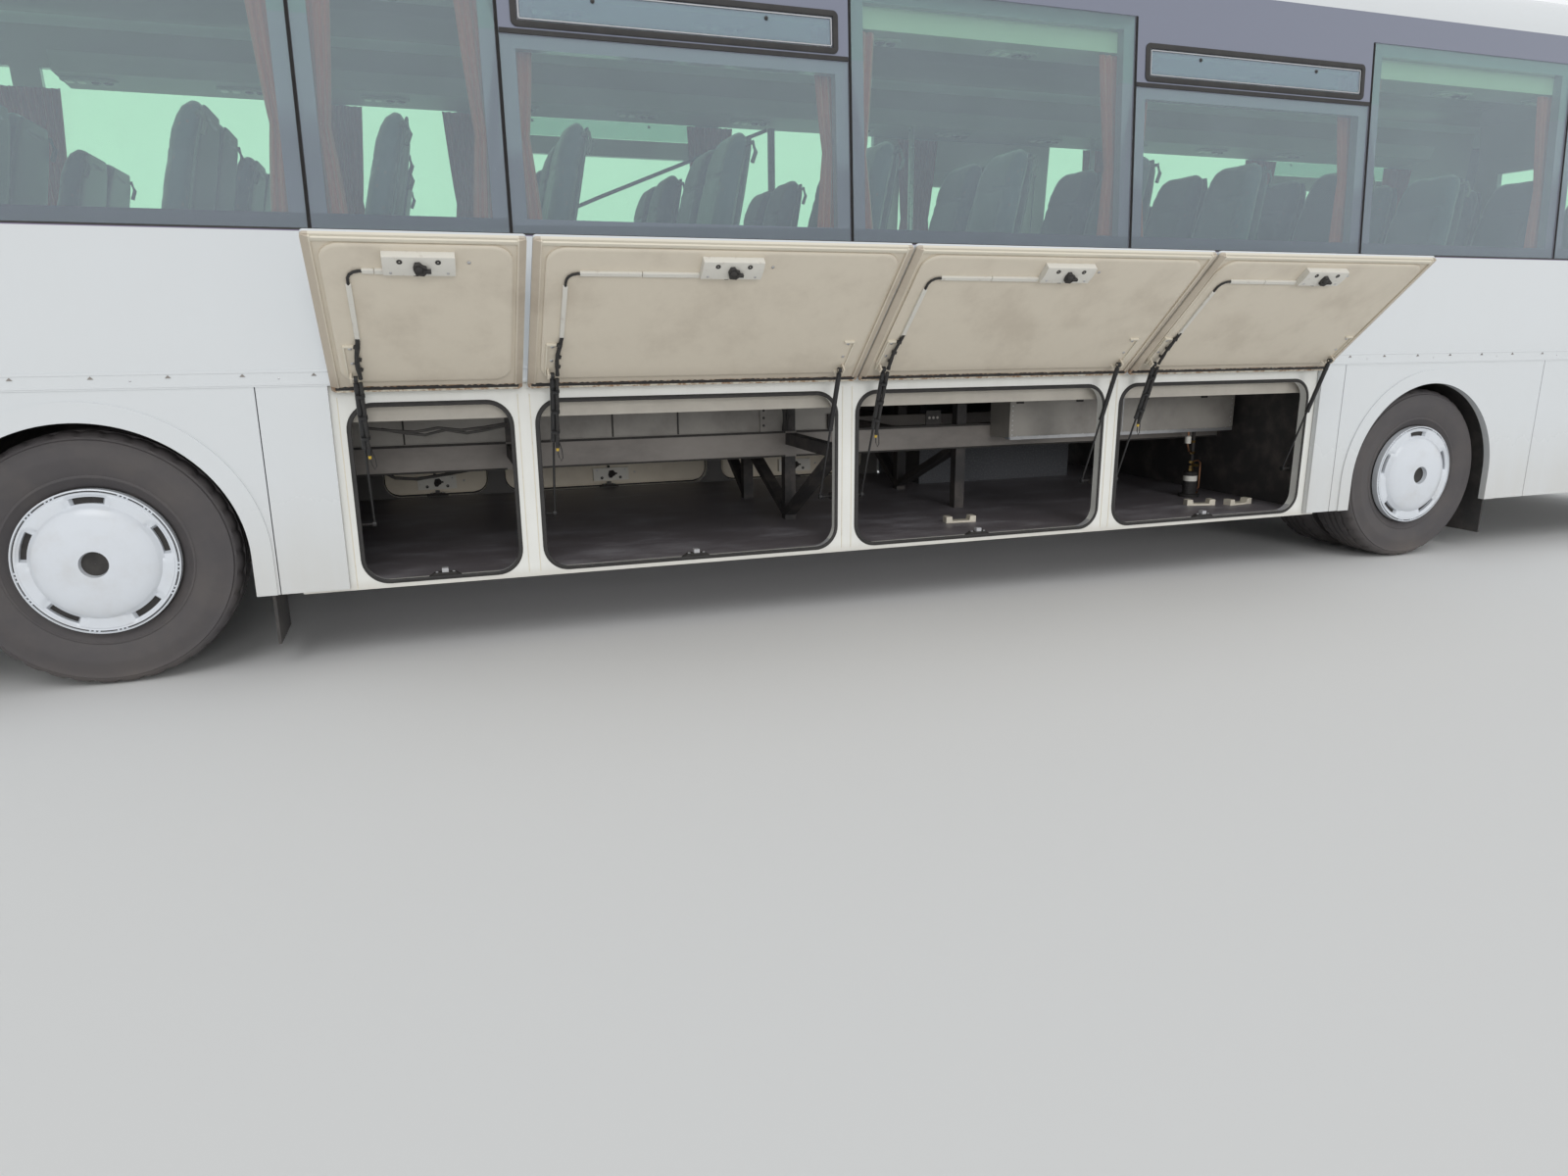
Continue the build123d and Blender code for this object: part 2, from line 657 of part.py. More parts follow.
for number, (front, rear, ahead, behind) in enumerate(LEFT_LIDS, 1):
    stations = strut_stations(front, rear, (ahead, behind), LEFT_BAYS)
    with BuildPart() as barrels:
        for station in stations:
            top = Plane((at(station), pin_y, pin_z), x_dir=(1, 0, 0), z_dir=strut_dir)
            with Locations(top * Location((0, 0, 0), (0, 90, 0))):
                Cylinder(EYE_RADIUS, EYE_WIDTH)
            with Locations(top * Location((0, 0, EYE_RADIUS - 2))):
                Cylinder(EYE_WIDTH / 2, BARREL_START - EYE_RADIUS + 3, align=(Align.CENTER, Align.CENTER, Align.MIN))
            with Locations(top * Location((0, 0, BARREL_START))):
                Cylinder(BARREL_RADIUS, BARREL_LENGTH - BARREL_START, align=(Align.CENTER, Align.CENTER, Align.MIN))
            with Locations(top * Location((0, 0, BARREL_LENGTH - BORE_DEPTH))):
                Cylinder(ROD_RADIUS + FIT, BORE_DEPTH + 1, align=(Align.CENTER, Align.CENTER, Align.MIN),
                         mode=Mode.SUBTRACT)
            with Locations(top * Location((0, 0, 0), (0, 90, 0))):
                Cylinder(ROD_RADIUS + FIT, EYE_WIDTH + 2, mode=Mode.SUBTRACT)
    write(barrels, f"strut_barrel_{number}")
    with BuildPart() as rods:
        for station in stations:
            top = Plane((at(station), pin_y, pin_z), x_dir=(1, 0, 0), z_dir=strut_dir)
            with Locations(top * Location((0, 0, BARREL_LENGTH - ROD_OVERLAP))):
                Cylinder(ROD_RADIUS, strut_run - BARREL_LENGTH + ROD_OVERLAP - 6,
                         align=(Align.CENTER, Align.CENTER, Align.MIN))
            with Locations(top * Location((0, 0, strut_run), (0, 90, 0))):
                Cylinder(EYE_RADIUS, EYE_WIDTH)
    write(rods, f"strut_rod_{number}")


# Front end
lid_axis_x = TAIL_X - ENGINE_LID_AXIS
with BuildPart() as screen_opening:
    block(0, NOSE_X, -SCREEN[0], SCREEN[0], SCREEN[1], SCREEN[2])
    add(SKIN, mode=Mode.INTERSECT)
with BuildPart() as lamp_pockets:
    for hand in (1, -1):
        block(at(FRONT_CUT_S) + 130, NOSE_X, hand * 720, hand * 1180, LAMP_Z - LAMP_HIGH / 2, LAMP_Z + LAMP_HIGH / 2)
    add(LAMP_SHELL, mode=Mode.INTERSECT)
with BuildPart() as front_mask:
    add(SHELL)
    block(at(FRONT_CUT_S), NOSE_X, -SIDE_Y, SIDE_Y, BUMPER_TOP, COVE_Z, mode=Mode.INTERSECT)
    add(screen_opening.part, mode=Mode.SUBTRACT)
    block(0, NOSE_X, -SCREEN[0] + FRIT, SCREEN[0] - FRIT, SCREEN[1] + FRIT, SCREEN[2] - FRIT, mode=Mode.SUBTRACT)
    add(lamp_pockets.part, mode=Mode.SUBTRACT)
write(front_mask, "front_mask")
with BuildPart() as windscreen:
    add(screen_opening.part)
write(windscreen, "windscreen")
with BuildPart() as headlamps:
    add(lamp_pockets.part)
write(headlamps, "headlamps")
with BuildPart() as front_bumper:
    add(PROUD)
    add(INNER, mode=Mode.SUBTRACT)
    block(at(FRONT_CUT_S), LENGTH, -SIDE_Y, SIDE_Y, BUMPER_Z, BUMPER_TOP, mode=Mode.INTERSECT)
    with Locations(Plane((TOW_FRONT_X, TOW_Y, TOW_Z), z_dir=(1, 0, 0))):
        Cylinder(TOW_RADIUS + TOW_WALL, TOW_LONG, align=(Align.CENTER, Align.CENTER, Align.MAX))
        Cylinder(TOW_RADIUS, LENGTH / 4, mode=Mode.SUBTRACT)
write(front_bumper, "front_bumper")

# Rear end
with BuildPart() as rear_opening:
    block(TAIL_X, 0, -REAR_SCREEN[0], REAR_SCREEN[0], REAR_SCREEN[1], REAR_SCREEN[2])
    add(SKIN, mode=Mode.INTERSECT)
with BuildPart() as tail_lamps:
    for hand in (1, -1):
        block(TAIL_X, at(REAR_CUT_S), hand * 985, hand * 1130, TAIL_LAMP[0], TAIL_LAMP[1])
    add(LAMP_SHELL, mode=Mode.INTERSECT)
write(tail_lamps, "tail_lamps")
with BuildPart() as rear_mask:
    add(SHELL)
    block(TAIL_X, at(REAR_CUT_S), -SIDE_Y, SIDE_Y, BUMPER_TOP, COVE_Z, mode=Mode.INTERSECT)
    add(rear_opening.part, mode=Mode.SUBTRACT)
    block(TAIL_X, 0, -REAR_SCREEN[0] + FRIT, REAR_SCREEN[0] - FRIT, REAR_SCREEN[1] + FRIT, REAR_SCREEN[2] - FRIT,
          mode=Mode.SUBTRACT)
    block(TAIL_X, 0, -ENGINE_LID[0], ENGINE_LID[0], ENGINE_LID[1], ENGINE_LID[2], mode=Mode.SUBTRACT)
    add(tail_lamps.part, mode=Mode.SUBTRACT)
    for hand in (1, -1):
        for ear_y in (HINGE_SPAN[0] - 12, HINGE_SPAN[1]):
            block(lid_axis_x - 10, TAIL_X - 1, hand * ear_y, hand * (ear_y + 12), ENGINE_LID[2] - 10,
                  ENGINE_LID[2] + 30)
            block(TAIL_X - 1, TAIL_X + 40, hand * ear_y, hand * (ear_y + 12), ENGINE_LID[2] + 2,
                  ENGINE_LID[2] + 30)
write(rear_mask, "rear_mask")
with BuildPart() as rear_window:
    add(rear_opening.part)
write(rear_window, "rear_window")
with BuildPart() as rear_bumper:
    add(PROUD)
    add(INNER, mode=Mode.SUBTRACT)
    block(-LENGTH, at(REAR_CUT_S), -SIDE_Y, SIDE_Y, BUMPER_Z, BUMPER_TOP, mode=Mode.INTERSECT)
    with Locations(Plane((TOW_REAR_X, TOW_Y, TOW_Z), z_dir=(-1, 0, 0))):
        Cylinder(TOW_RADIUS + TOW_WALL, TOW_LONG, align=(Align.CENTER, Align.CENTER, Align.MAX))
        Cylinder(TOW_RADIUS, LENGTH / 4, mode=Mode.SUBTRACT)
write(rear_bumper, "rear_bumper")
with BuildPart() as engine_lid:
    add(OUTER)
    add(LID_BACK, mode=Mode.SUBTRACT)
    block(TAIL_X, 0, -ENGINE_LID[0] + DOOR_GAP, ENGINE_LID[0] - DOOR_GAP, ENGINE_LID[1] + DOOR_GAP,
          ENGINE_LID[2] - DOOR_GAP, mode=Mode.INTERSECT)
    for hand in (1, -1):
        block(lid_axis_x - 5, TAIL_X + 28, hand * (HINGE_SPAN[0] + 2), hand * (HINGE_SPAN[1] - 2),
              ENGINE_LID[2] - 26, ENGINE_LID[2] - DOOR_GAP)
        block(lid_axis_x - 5, lid_axis_x + 5, hand * (HINGE_SPAN[0] + 2), hand * (HINGE_SPAN[1] - 2),
              ENGINE_LID[2] - 26, ENGINE_LID[2])
        with Locations(Plane((lid_axis_x, hand * (HINGE_SPAN[0] + 0.3), ENGINE_LID[2]), z_dir=(0, hand, 0))):
            Cylinder(HINGE_RADIUS, HINGE_SPAN[1] - HINGE_SPAN[0] - 0.6,
                     align=(Align.CENTER, Align.CENTER, Align.MIN))
write(engine_lid, "engine_lid")


# Mirrors on arms from the front of the side walls
with BuildPart() as mirrors:
    root_x, root_y, root_z = MIRROR_ARM[0]
    for hand in (1, -1):
        foot = (root_x, hand * (side_at(root_z - MIRROR_TUBE) + SEAT_GAP), root_z)
        with BuildLine() as arm:
            FilletPolyline(foot, *[(x, hand * y, z) for x, y, z in MIRROR_ARM], radius=60)
        with BuildSketch(Plane(arm.line @ 0, z_dir=arm.line % 0)):
            Circle(MIRROR_TUBE)
        sweep(path=arm.line)
        with Locations((MIRROR_ARM[-1][0], hand * MIRROR_ARM[-1][1], MIRROR_ARM[-1][2] - MIRROR_HEAD[2] / 2)):
            Box(*MIRROR_HEAD)
write(mirrors, "mirrors")


# Cabin floor with the cab step-down and both stair wells
floor_y = SIDE_Y - WALL
with BuildPart() as cabin_floor:
    block(at(REAR_CUT_S), at(CAB_REAR_S), -floor_y, floor_y, FLOOR_TOP - FLOOR, FLOOR_TOP)
    block(at(CAB_REAR_S), at(CAB_REAR_S) + STEP_WALL, -floor_y, floor_y, CAB_FLOOR - CAB_DECK, FLOOR_TOP)
    block(at(CAB_REAR_S), at(FRONT_CUT_S), -STAIR_Y, floor_y, CAB_FLOOR - CAB_DECK, CAB_FLOOR)
    block(at(MID_DOOR[1]) + STEP_WALL, at(MID_DOOR[0]) - STEP_WALL, -floor_y, -STAIR_Y, 0, FLOOR_TOP,
          mode=Mode.SUBTRACT)
    for well_front, well_rear, top in ((FRONT_DOOR[0], FRONT_DOOR[1], CAB_FLOOR), (*MID_DOOR[:2], FLOOR_TOP)):
        block(at(well_front), at(well_front) - STEP_WALL, -SIDE_Y + WALL, -STAIR_Y + STEP_WALL, SKIRT_Z, top)
        block(at(well_rear), at(well_rear) + STEP_WALL, -SIDE_Y + WALL, -STAIR_Y + STEP_WALL, SKIRT_Z, top)
        block(at(well_rear), at(well_front), -STAIR_Y, -STAIR_Y + STEP_WALL, SKIRT_Z, top)
        steps = round((top - SKIRT_Z) / STEP_RISE)
        for step in range(steps):
            tread = (SIDE_Y - WALL - STAIR_Y) / steps
            outer = -SIDE_Y + WALL + step * tread
            block(at(well_rear), at(well_front), outer, outer + tread, SKIRT_Z,
                  SKIRT_Z + STEP_WALL + step * (top - SKIRT_Z) / steps)
write(cabin_floor, "cabin_floor")


# Chassis rails and the frame round the luggage bays
bay_y = BAY_Y - BAY_FRAME
with BuildPart() as chassis_rails:
    for hand in (1, -1):
        block(at(REAR_CUT_S) + 60, at(FRONT_CUT_S) - 60, hand * RAIL_Y, hand * (RAIL_Y + RAIL_WIDTH),
              RAIL_Z, RAIL_Z + RAIL_HEIGHT)
    for station in RAIL_TIES:
        block(at(station) - TIE / 2, at(station) + TIE / 2, -RAIL_Y, RAIL_Y, RAIL_Z + TIE_STEP,
              RAIL_Z + RAIL_HEIGHT - TIE_STEP)
    for station in JACK_STATIONS:
        for hand in (1, -1):
            with Locations((at(station), hand * (RAIL_Y + RAIL_WIDTH / 2), RAIL_Z - JACK_PAD[2] / 2)):
                Box(*JACK_PAD)
write(chassis_rails, "chassis_rails")


def bar(y0, z0, y1, z1, width):
    """Straight bar of a cross-frame, in the section sketch that calls it."""
    with Locations(Location(((y0 + y1) / 2, (z0 + z1) / 2, 0), (0, 0, math.degrees(math.atan2(z1 - z0, y1 - y0))))):
        Rectangle(math.hypot(y1 - y0, z1 - z0), width)


BAY_FLOOR_TOP = SILL_Z + BAY_FLOOR - 6
rail_mid = RAIL_Y + RAIL_WIDTH / 2
with BuildPart() as bay_frame:
    for station, outrigger, crossing in FRAMES:
        with BuildSketch(Plane.YZ.offset(at(station) - BEAM / 2)):
            with Locations((0, FLOOR_TOP - FLOOR - BEAM / 2)):
                Rectangle(2 * (BEARER[0] - SEAT_GAP), BEAM)
            for hand in (1, -1):
                held = outrigger or hand < 0
                bar(hand * rail_mid, RAIL_Z + RAIL_HEIGHT, hand * rail_mid, FLOOR_TOP - FLOOR - BEAM / 2, BEAM)
                if held:
                    bar(hand * (RAIL_Y + RAIL_WIDTH), OUTRIGGER_Z, hand * bay_y, OUTRIGGER_Z, BEAM)
                if crossing != 0:
                    bar(hand * rail_mid, BAY_FLOOR_TOP, hand * rail_mid, RAIL_Z, BEAM)
                if crossing != 0 and held:
                    bar(hand * rail_mid, BAY_FLOOR_TOP + BEAM / 2, hand * (bay_y - BEAM), OUTRIGGER_Z, BRACE)
                if crossing == hand:
                    bar(hand * rail_mid, BAY_FLOOR_TOP + BEAM / 2, -hand * (RAIL_Y - 5), RAIL_Z - 10, BRACE)
            with Locations((0, FLOOR_TOP)):
                Rectangle(2 * bay_y, 2 * FLOOR, mode=Mode.SUBTRACT)
            with Locations((0, BAY_FLOOR_TOP - BEAM)):
                Rectangle(2 * bay_y, 2 * BEAM, mode=Mode.SUBTRACT)
            for hand in (1, -1):
                with Locations((hand * rail_mid, RAIL_Z + RAIL_HEIGHT / 2)):
                    Rectangle(RAIL_WIDTH, RAIL_HEIGHT, mode=Mode.SUBTRACT)
        extrude(amount=BEAM)
    for hand in (1, -1):
        block(at(BAY_REAR_S - BULKHEAD - SEAT_GAP), at(BAY_FRONT_S + BULKHEAD + SEAT_GAP), hand * BEARER[0],
              hand * BEARER[1], BEARER[2], FLOOR_TOP - FLOOR)
    block(at(MID_DOOR[1]), at(MID_DOOR[0]), -SIDE_Y, -STAIR_Y + STEP_WALL, 0, FLOOR_TOP, mode=Mode.SUBTRACT)
    block(at(DUCT[1]), at(DUCT[0]), RAIL_Y + RAIL_WIDTH, DUCT[2], DUCT[3], DUCT[4], mode=Mode.SUBTRACT)
    for station in (BAY_FRONT_S + BULKHEAD, BAY_REAR_S):
        with BuildSketch(Plane.YZ.offset(at(station))):
            with Locations((0, (BAY_FLOOR_TOP + FLOOR_TOP - FLOOR) / 2)):
                Rectangle(2 * bay_y, FLOOR_TOP - FLOOR - BAY_FLOOR_TOP)
            for hand in (1, -1):
                with Locations((hand * rail_mid, RAIL_Z + RAIL_HEIGHT / 2)):
                    Rectangle(RAIL_WIDTH, RAIL_HEIGHT, mode=Mode.SUBTRACT)
        extrude(amount=BULKHEAD)
write(bay_frame, "bay_frame")

with BuildPart() as bay_floor:
    block(at(BAY_REAR_S), at(BAY_FRONT_S), -bay_y, bay_y, BAY_FLOOR_TOP - BAY_FLOOR, BAY_FLOOR_TOP)
    block(at(MID_DOOR[1]), at(MID_DOOR[0]), -SIDE_Y, -STAIR_Y + STEP_WALL, 0, FLOOR_TOP, mode=Mode.SUBTRACT)
write(bay_floor, "bay_floor")

# Duct box, and the sheets that close the pipe tunnel between the rails and the floor
with BuildPart() as duct_box:
    block(at(DUCT[1]), at(DUCT[0]), RAIL_Y + RAIL_WIDTH, DUCT[2], DUCT[3], DUCT[4])
    for front, rear in zip(TUNNEL, TUNNEL[1:]):
        for hand in (1, -1):
            sheet_y = RAIL_Y + RAIL_WIDTH - 10
            start = front if front == TUNNEL[0] else front + BEAM / 2
            end = rear if rear == TUNNEL[-1] else rear - BEAM / 2
            block(at(end), at(start), hand * (sheet_y - TUNNEL_SHEET), hand * sheet_y, RAIL_Z + RAIL_HEIGHT,
                  FLOOR_TOP - FLOOR)
write(duct_box, "duct_box")

with BuildPart() as air_dryer:
    with Locations((at(DRYER_S), DRYER_Y, BAY_FLOOR_TOP)):
        Cylinder(*DRYER_FOOT, align=(Align.CENTER, Align.CENTER, Align.MIN))
        Cylinder(*DRYER, align=(Align.CENTER, Align.CENTER, Align.MIN))
        Cylinder(DRYER_PIPE, DUCT[3] - BAY_FLOOR_TOP - SEAT_GAP, align=(Align.CENTER, Align.CENTER, Align.MIN))
write(air_dryer, "air_dryer")


# Cabin
def seat_profile(back_x, base_z):
    """Side view of one seat: pedestal, cushion and high back."""
    Polyline(*[(back_x + x, base_z + z) for x, z in SEAT_OUTLINE], close=True)


row_stations = [SEAT_FIRST_S + row * SEAT_PITCH for row in range(SEAT_ROWS)]
stairs = (MID_DOOR[0] - SEAT_CLEAR, MID_DOOR[1] + 2 * SEAT_CLEAR)
right_stations = [station for station in row_stations if not stairs[0] < station < stairs[1]]
with BuildPart() as seats:
    for hand in (1, -1):
        for near in (SEAT_AISLE, SEAT_AISLE + SEAT_WIDTH + SEAT_PART):
            with BuildSketch(Plane.XZ.offset(-hand * near)):
                for station in row_stations if hand > 0 else right_stations:
                    with BuildLine():
                        seat_profile(at(station), FLOOR_TOP)
                    make_face()
            extrude(amount=-hand * SEAT_WIDTH)
    with BuildSketch(Plane.XZ.offset(-DRIVER_Y + SEAT_WIDTH / 2)):
        with BuildLine():
            seat_profile(at(DRIVER_S), CAB_FLOOR)
        make_face()
    extrude(amount=-SEAT_WIDTH)
write(seats, "seats")

with BuildPart() as dashboard:
    with BuildSketch(Plane.XZ.offset(-1150)):
        with BuildLine():
            Polyline(*[(at(FRONT_CUT_S) + x, CAB_FLOOR + z) for x, z in DASH_OUTLINE], close=True)
        make_face()
    extrude(amount=1500)
    column = Plane((at(FRONT_CUT_S) - 330, DRIVER_Y, CAB_FLOOR + 520), z_dir=(-0.5, 0, 0.866))
    with Locations(column):
        Cylinder(28, 130, align=(Align.CENTER, Align.CENTER, Align.MIN))
    with Locations(column.offset(140)):
        Cylinder(60, 22)
        Torus(WHEEL_RADIUS, 16)
        Box(2 * WHEEL_RADIUS, 36, 12)
write(dashboard, "dashboard")

with BuildPart() as racks:
    for hand in (1, -1):
        with BuildSketch(Plane.YZ.offset(at(RACK[1]))):
            with BuildLine():
                Polyline(*[(hand * y, z) for y, z in (
                    (side_at(RACK_Z, WALL) - SEAT_GAP, RACK_Z), (RACK_Y + 30, RACK_Z + 20),
                    (RACK_Y, RACK_Z + 110), (side_at(RACK_Z + 170, WALL) - SEAT_GAP, RACK_Z + 170),
                )], close=True)
            make_face()
        extrude(amount=RACK[1] - RACK[0])
write(racks, "racks")

with BuildPart() as curtains:
    for hand in (1, -1):
        for station in CURTAINS:
            with BuildSketch(Plane.YZ.offset(at(station) - CURTAIN / 2)):
                with BuildLine():
                    Polyline(*[(hand * (side_at(z, WALL) - inward), z) for z, inward in (
                        (WINDOW_Z + 10, 0.3), (WINDOW_Z + 10, 30), (RACK_Z - 5, 30), (RACK_Z - 5, 0.3),
                    )], close=True)
                make_face()
            extrude(amount=CURTAIN)
write(curtains, "curtains")


# Running gear
def wheel_housings_shape():
    """Arched liners over the wheels, with an inner wall and a flap behind each wheel."""
    with BuildPart() as liners:
        for axle in (FRONT_AXLE_X, REAR_AXLE_X):
            for hand in (1, -1):
                plane = Plane((axle, hand * (SIDE_Y - PANEL), 0), x_dir=(1, 0, 0), z_dir=(0, -1, 0))
                with BuildSketch(plane):
                    with Locations((0, TYRE_RADIUS)):
                        Circle(HOUSING_RADIUS + HOUSING_WALL)
                    with Locations((0, (TYRE_RADIUS + LINER_Z) / 2)):
                        Rectangle(2 * (HOUSING_RADIUS + HOUSING_WALL), TYRE_RADIUS - LINER_Z)
                    with Locations((0, LINER_Z - ROOF_TOP / 2)):
                        Rectangle(LENGTH, ROOF_TOP, mode=Mode.SUBTRACT)
                extrude(amount=hand * (SIDE_Y - PANEL - HOUSING_Y))
                with BuildSketch(plane):
                    with Locations((0, TYRE_RADIUS)):
                        Circle(HOUSING_RADIUS)
                    with Locations((0, TYRE_RADIUS / 2)):
                        Rectangle(2 * HOUSING_RADIUS, TYRE_RADIUS)
                extrude(amount=hand * (SIDE_Y - PANEL - HOUSING_Y - HOUSING_WALL), mode=Mode.SUBTRACT)
                block(axle - AXLE_NOTCH[0], axle + AXLE_NOTCH[0], hand * (HOUSING_Y - 50), hand * (HOUSING_Y + 50),
                      0, AXLE_NOTCH[1], mode=Mode.SUBTRACT)
                flap_x = axle - HOUSING_RADIUS - HOUSING_WALL
                block(flap_x - 8, flap_x + 4, hand * 900, hand * (SIDE_Y - PANEL - 6), FLAP_Z, LINER_Z + 60)
    return liners


wheel_housings = wheel_housings_shape()
write(wheel_housings, "wheel_housings")

with BuildPart() as engine:
    block(*ENGINE)
write(engine, "engine")

beam_end = KINGPIN_Y - KNUCKLE_BOSS - BEAM_CLEAR
with BuildPart() as front_axle:
    with BuildSketch(Plane.XZ.offset(beam_end)):
        with Locations((FRONT_AXLE_X, TYRE_RADIUS - BEAM_DROP)):
            Rectangle(110, 100)
            for side in (1, -1):
                with Locations((side * 46, 0)):
                    Rectangle(40, 60, mode=Mode.SUBTRACT)
    extrude(amount=-2 * beam_end)
    for hand in (1, -1):
        with Locations((FRONT_AXLE_X, hand * KINGPIN_Y, TYRE_RADIUS)):
            Cylinder(KNUCKLE_BOSS, 2 * BOSS_HALF)
            Cylinder(KINGPIN_RADIUS, 2 * (BOSS_HALF + YOKE + 6))
        block(FRONT_AXLE_X - 50, FRONT_AXLE_X + 50, hand * (beam_end - 90), hand * beam_end,
              TYRE_RADIUS - BEAM_DROP - 50, TYRE_RADIUS + BOSS_HALF - 6)
        block(FRONT_AXLE_X - KNUCKLE_BOSS + 6, FRONT_AXLE_X + KNUCKLE_BOSS - 6, hand * (beam_end - 10),
              hand * KINGPIN_Y, TYRE_RADIUS - BOSS_HALF + 6, TYRE_RADIUS + BOSS_HALF - 6)
        with Locations((FRONT_AXLE_X, hand * rail_mid, TYRE_RADIUS - BEAM_DROP + 50)):
            Cylinder(BELLOWS, RAIL_Z - TYRE_RADIUS + BEAM_DROP - 50, align=(Align.CENTER, Align.CENTER, Align.MIN))
write(front_axle, "front_axle")

for hand, side in ((1, "left"), (-1, "right")):
    with BuildPart() as knuckle:
        for up in (1, -1):
            with Locations((FRONT_AXLE_X, hand * KINGPIN_Y, TYRE_RADIUS + up * (BOSS_HALF + 1 + YOKE / 2))):
                Cylinder(KNUCKLE_BOSS, YOKE)
            block(FRONT_AXLE_X - KNUCKLE_BOSS, FRONT_AXLE_X + KNUCKLE_BOSS, hand * KINGPIN_Y,
                  hand * (KINGPIN_Y + KNUCKLE_BOSS + 8), TYRE_RADIUS + up * (BOSS_HALF + 1),
                  TYRE_RADIUS + up * (BOSS_HALF + 1 + YOKE))
        block(FRONT_AXLE_X - KNUCKLE_BOSS, FRONT_AXLE_X + KNUCKLE_BOSS, hand * (KINGPIN_Y + KNUCKLE_BOSS + 6),
              hand * (KINGPIN_Y + KNUCKLE_BOSS + 30), TYRE_RADIUS - BOSS_HALF - 1 - YOKE,
              TYRE_RADIUS + BOSS_HALF + 1 + YOKE)
        with Locations(Plane((FRONT_AXLE_X, hand * (KINGPIN_Y + KNUCKLE_BOSS + 20), TYRE_RADIUS),
                             z_dir=(0, hand, 0))):
            Cylinder(SPINDLE_RADIUS, SPINDLE_END - KINGPIN_Y - KNUCKLE_BOSS - 20,
                     align=(Align.CENTER, Align.CENTER, Align.MIN))
        with Locations((FRONT_AXLE_X, hand * KINGPIN_Y, TYRE_RADIUS)):
            Cylinder(KINGPIN_RADIUS + FIT, 4 * BOSS_HALF, mode=Mode.SUBTRACT)
    write(knuckle, f"knuckle_{side}")

with BuildPart() as rear_axle:
    with Locations(Plane((REAR_AXLE_X, -REAR_TUBE_END, TYRE_RADIUS), z_dir=(0, 1, 0))):
        Cylinder(REAR_TUBE, 2 * REAR_TUBE_END, align=(Align.CENTER, Align.CENTER, Align.MIN))
    with Locations(Plane((REAR_AXLE_X, -SPINDLE_END, TYRE_RADIUS), z_dir=(0, 1, 0))):
        Cylinder(SPINDLE_RADIUS, 2 * SPINDLE_END, align=(Align.CENTER, Align.CENTER, Align.MIN))
    with Locations((REAR_AXLE_X, 0, TYRE_RADIUS)):
        Sphere(DIFF_RADIUS)
    with Locations(Plane((REAR_AXLE_X, 0, TYRE_RADIUS), z_dir=(-1, 0, 0))):
        Cylinder(90, 300, align=(Align.CENTER, Align.CENTER, Align.MIN))
    for hand in (1, -1):
        for ahead in (1, -1):
            with Locations((REAR_AXLE_X + ahead * BELLOWS_X, hand * rail_mid, TYRE_RADIUS - 20)):
                Cylinder(BELLOWS, RAIL_Z - TYRE_RADIUS + 20, align=(Align.CENTER, Align.CENTER, Align.MIN))
        block(REAR_AXLE_X - BELLOWS_X, REAR_AXLE_X + BELLOWS_X, hand * (rail_mid - 45), hand * (rail_mid + 45),
              TYRE_RADIUS - 60, TYRE_RADIUS - 15)
write(rear_axle, "rear_axle")


def turned(points, axle_x, middle_y, hand):
    """Outline of radius and outward offset, turned about an axle, in the builder that calls it."""
    plane = Plane((axle_x, middle_y, TYRE_RADIUS), x_dir=(0, 0, 1), z_dir=(-hand, 0, 0))
    with BuildSketch(plane) as outline:
        with BuildLine():
            Polyline(*points, close=True)
        make_face()
    revolve(outline.sketch, axis=Axis((axle_x, 0, TYRE_RADIUS), (0, 1, 0)))


half_tyre = TYRE_WIDTH / 2
TYRE_OUTLINE = [
    (RIM_RADIUS + 0.3, -108), (RIM_RADIUS + 0.3, 108), (300, 119), (350, 138), (400, half_tyre), (440, 143),
    (474, 132), (489, 116), (TYRE_RADIUS, 92), (TYRE_RADIUS, -92), (489, -116), (474, -132), (440, -143),
    (400, -half_tyre), (350, -138), (300, -119),
]
cover = COVER_Y - TYRE_Y
BARREL = 118
RIM_FACE = [
    (RIM_RADIUS, BARREL), (COVER_RADIUS, BARREL), (COVER_RADIUS, cover), (263, cover + 2), (256, cover - 7),
    (224, cover - 5), (210, cover + 14), (192, cover + 25), (150, cover + 36), (72, cover + HUB_PROUD),
    (COVER_HOLE, cover + HUB_PROUD), (COVER_HOLE, cover + HUB_PROUD - 22), (0, cover + HUB_PROUD - 22),
    (0, SPINDLE_END - TYRE_Y + 5), (SPINDLE_RADIUS + FIT, SPINDLE_END - TYRE_Y + 5),
    (SPINDLE_RADIUS + FIT, HUB_START), (140, HUB_START), (140, 40), (255, 40),
]
SINGLE_RIM = RIM_FACE + [(255, -BARREL), (RIM_RADIUS, -BARREL)]
TWIN_RIM = RIM_FACE + [
    (255, -TWIN_PITCH - BARREL), (RIM_RADIUS, -TWIN_PITCH - BARREL), (RIM_RADIUS, BARREL - TWIN_PITCH),
    (268, BARREL - TWIN_PITCH), (268, -BARREL), (RIM_RADIUS, -BARREL),
]

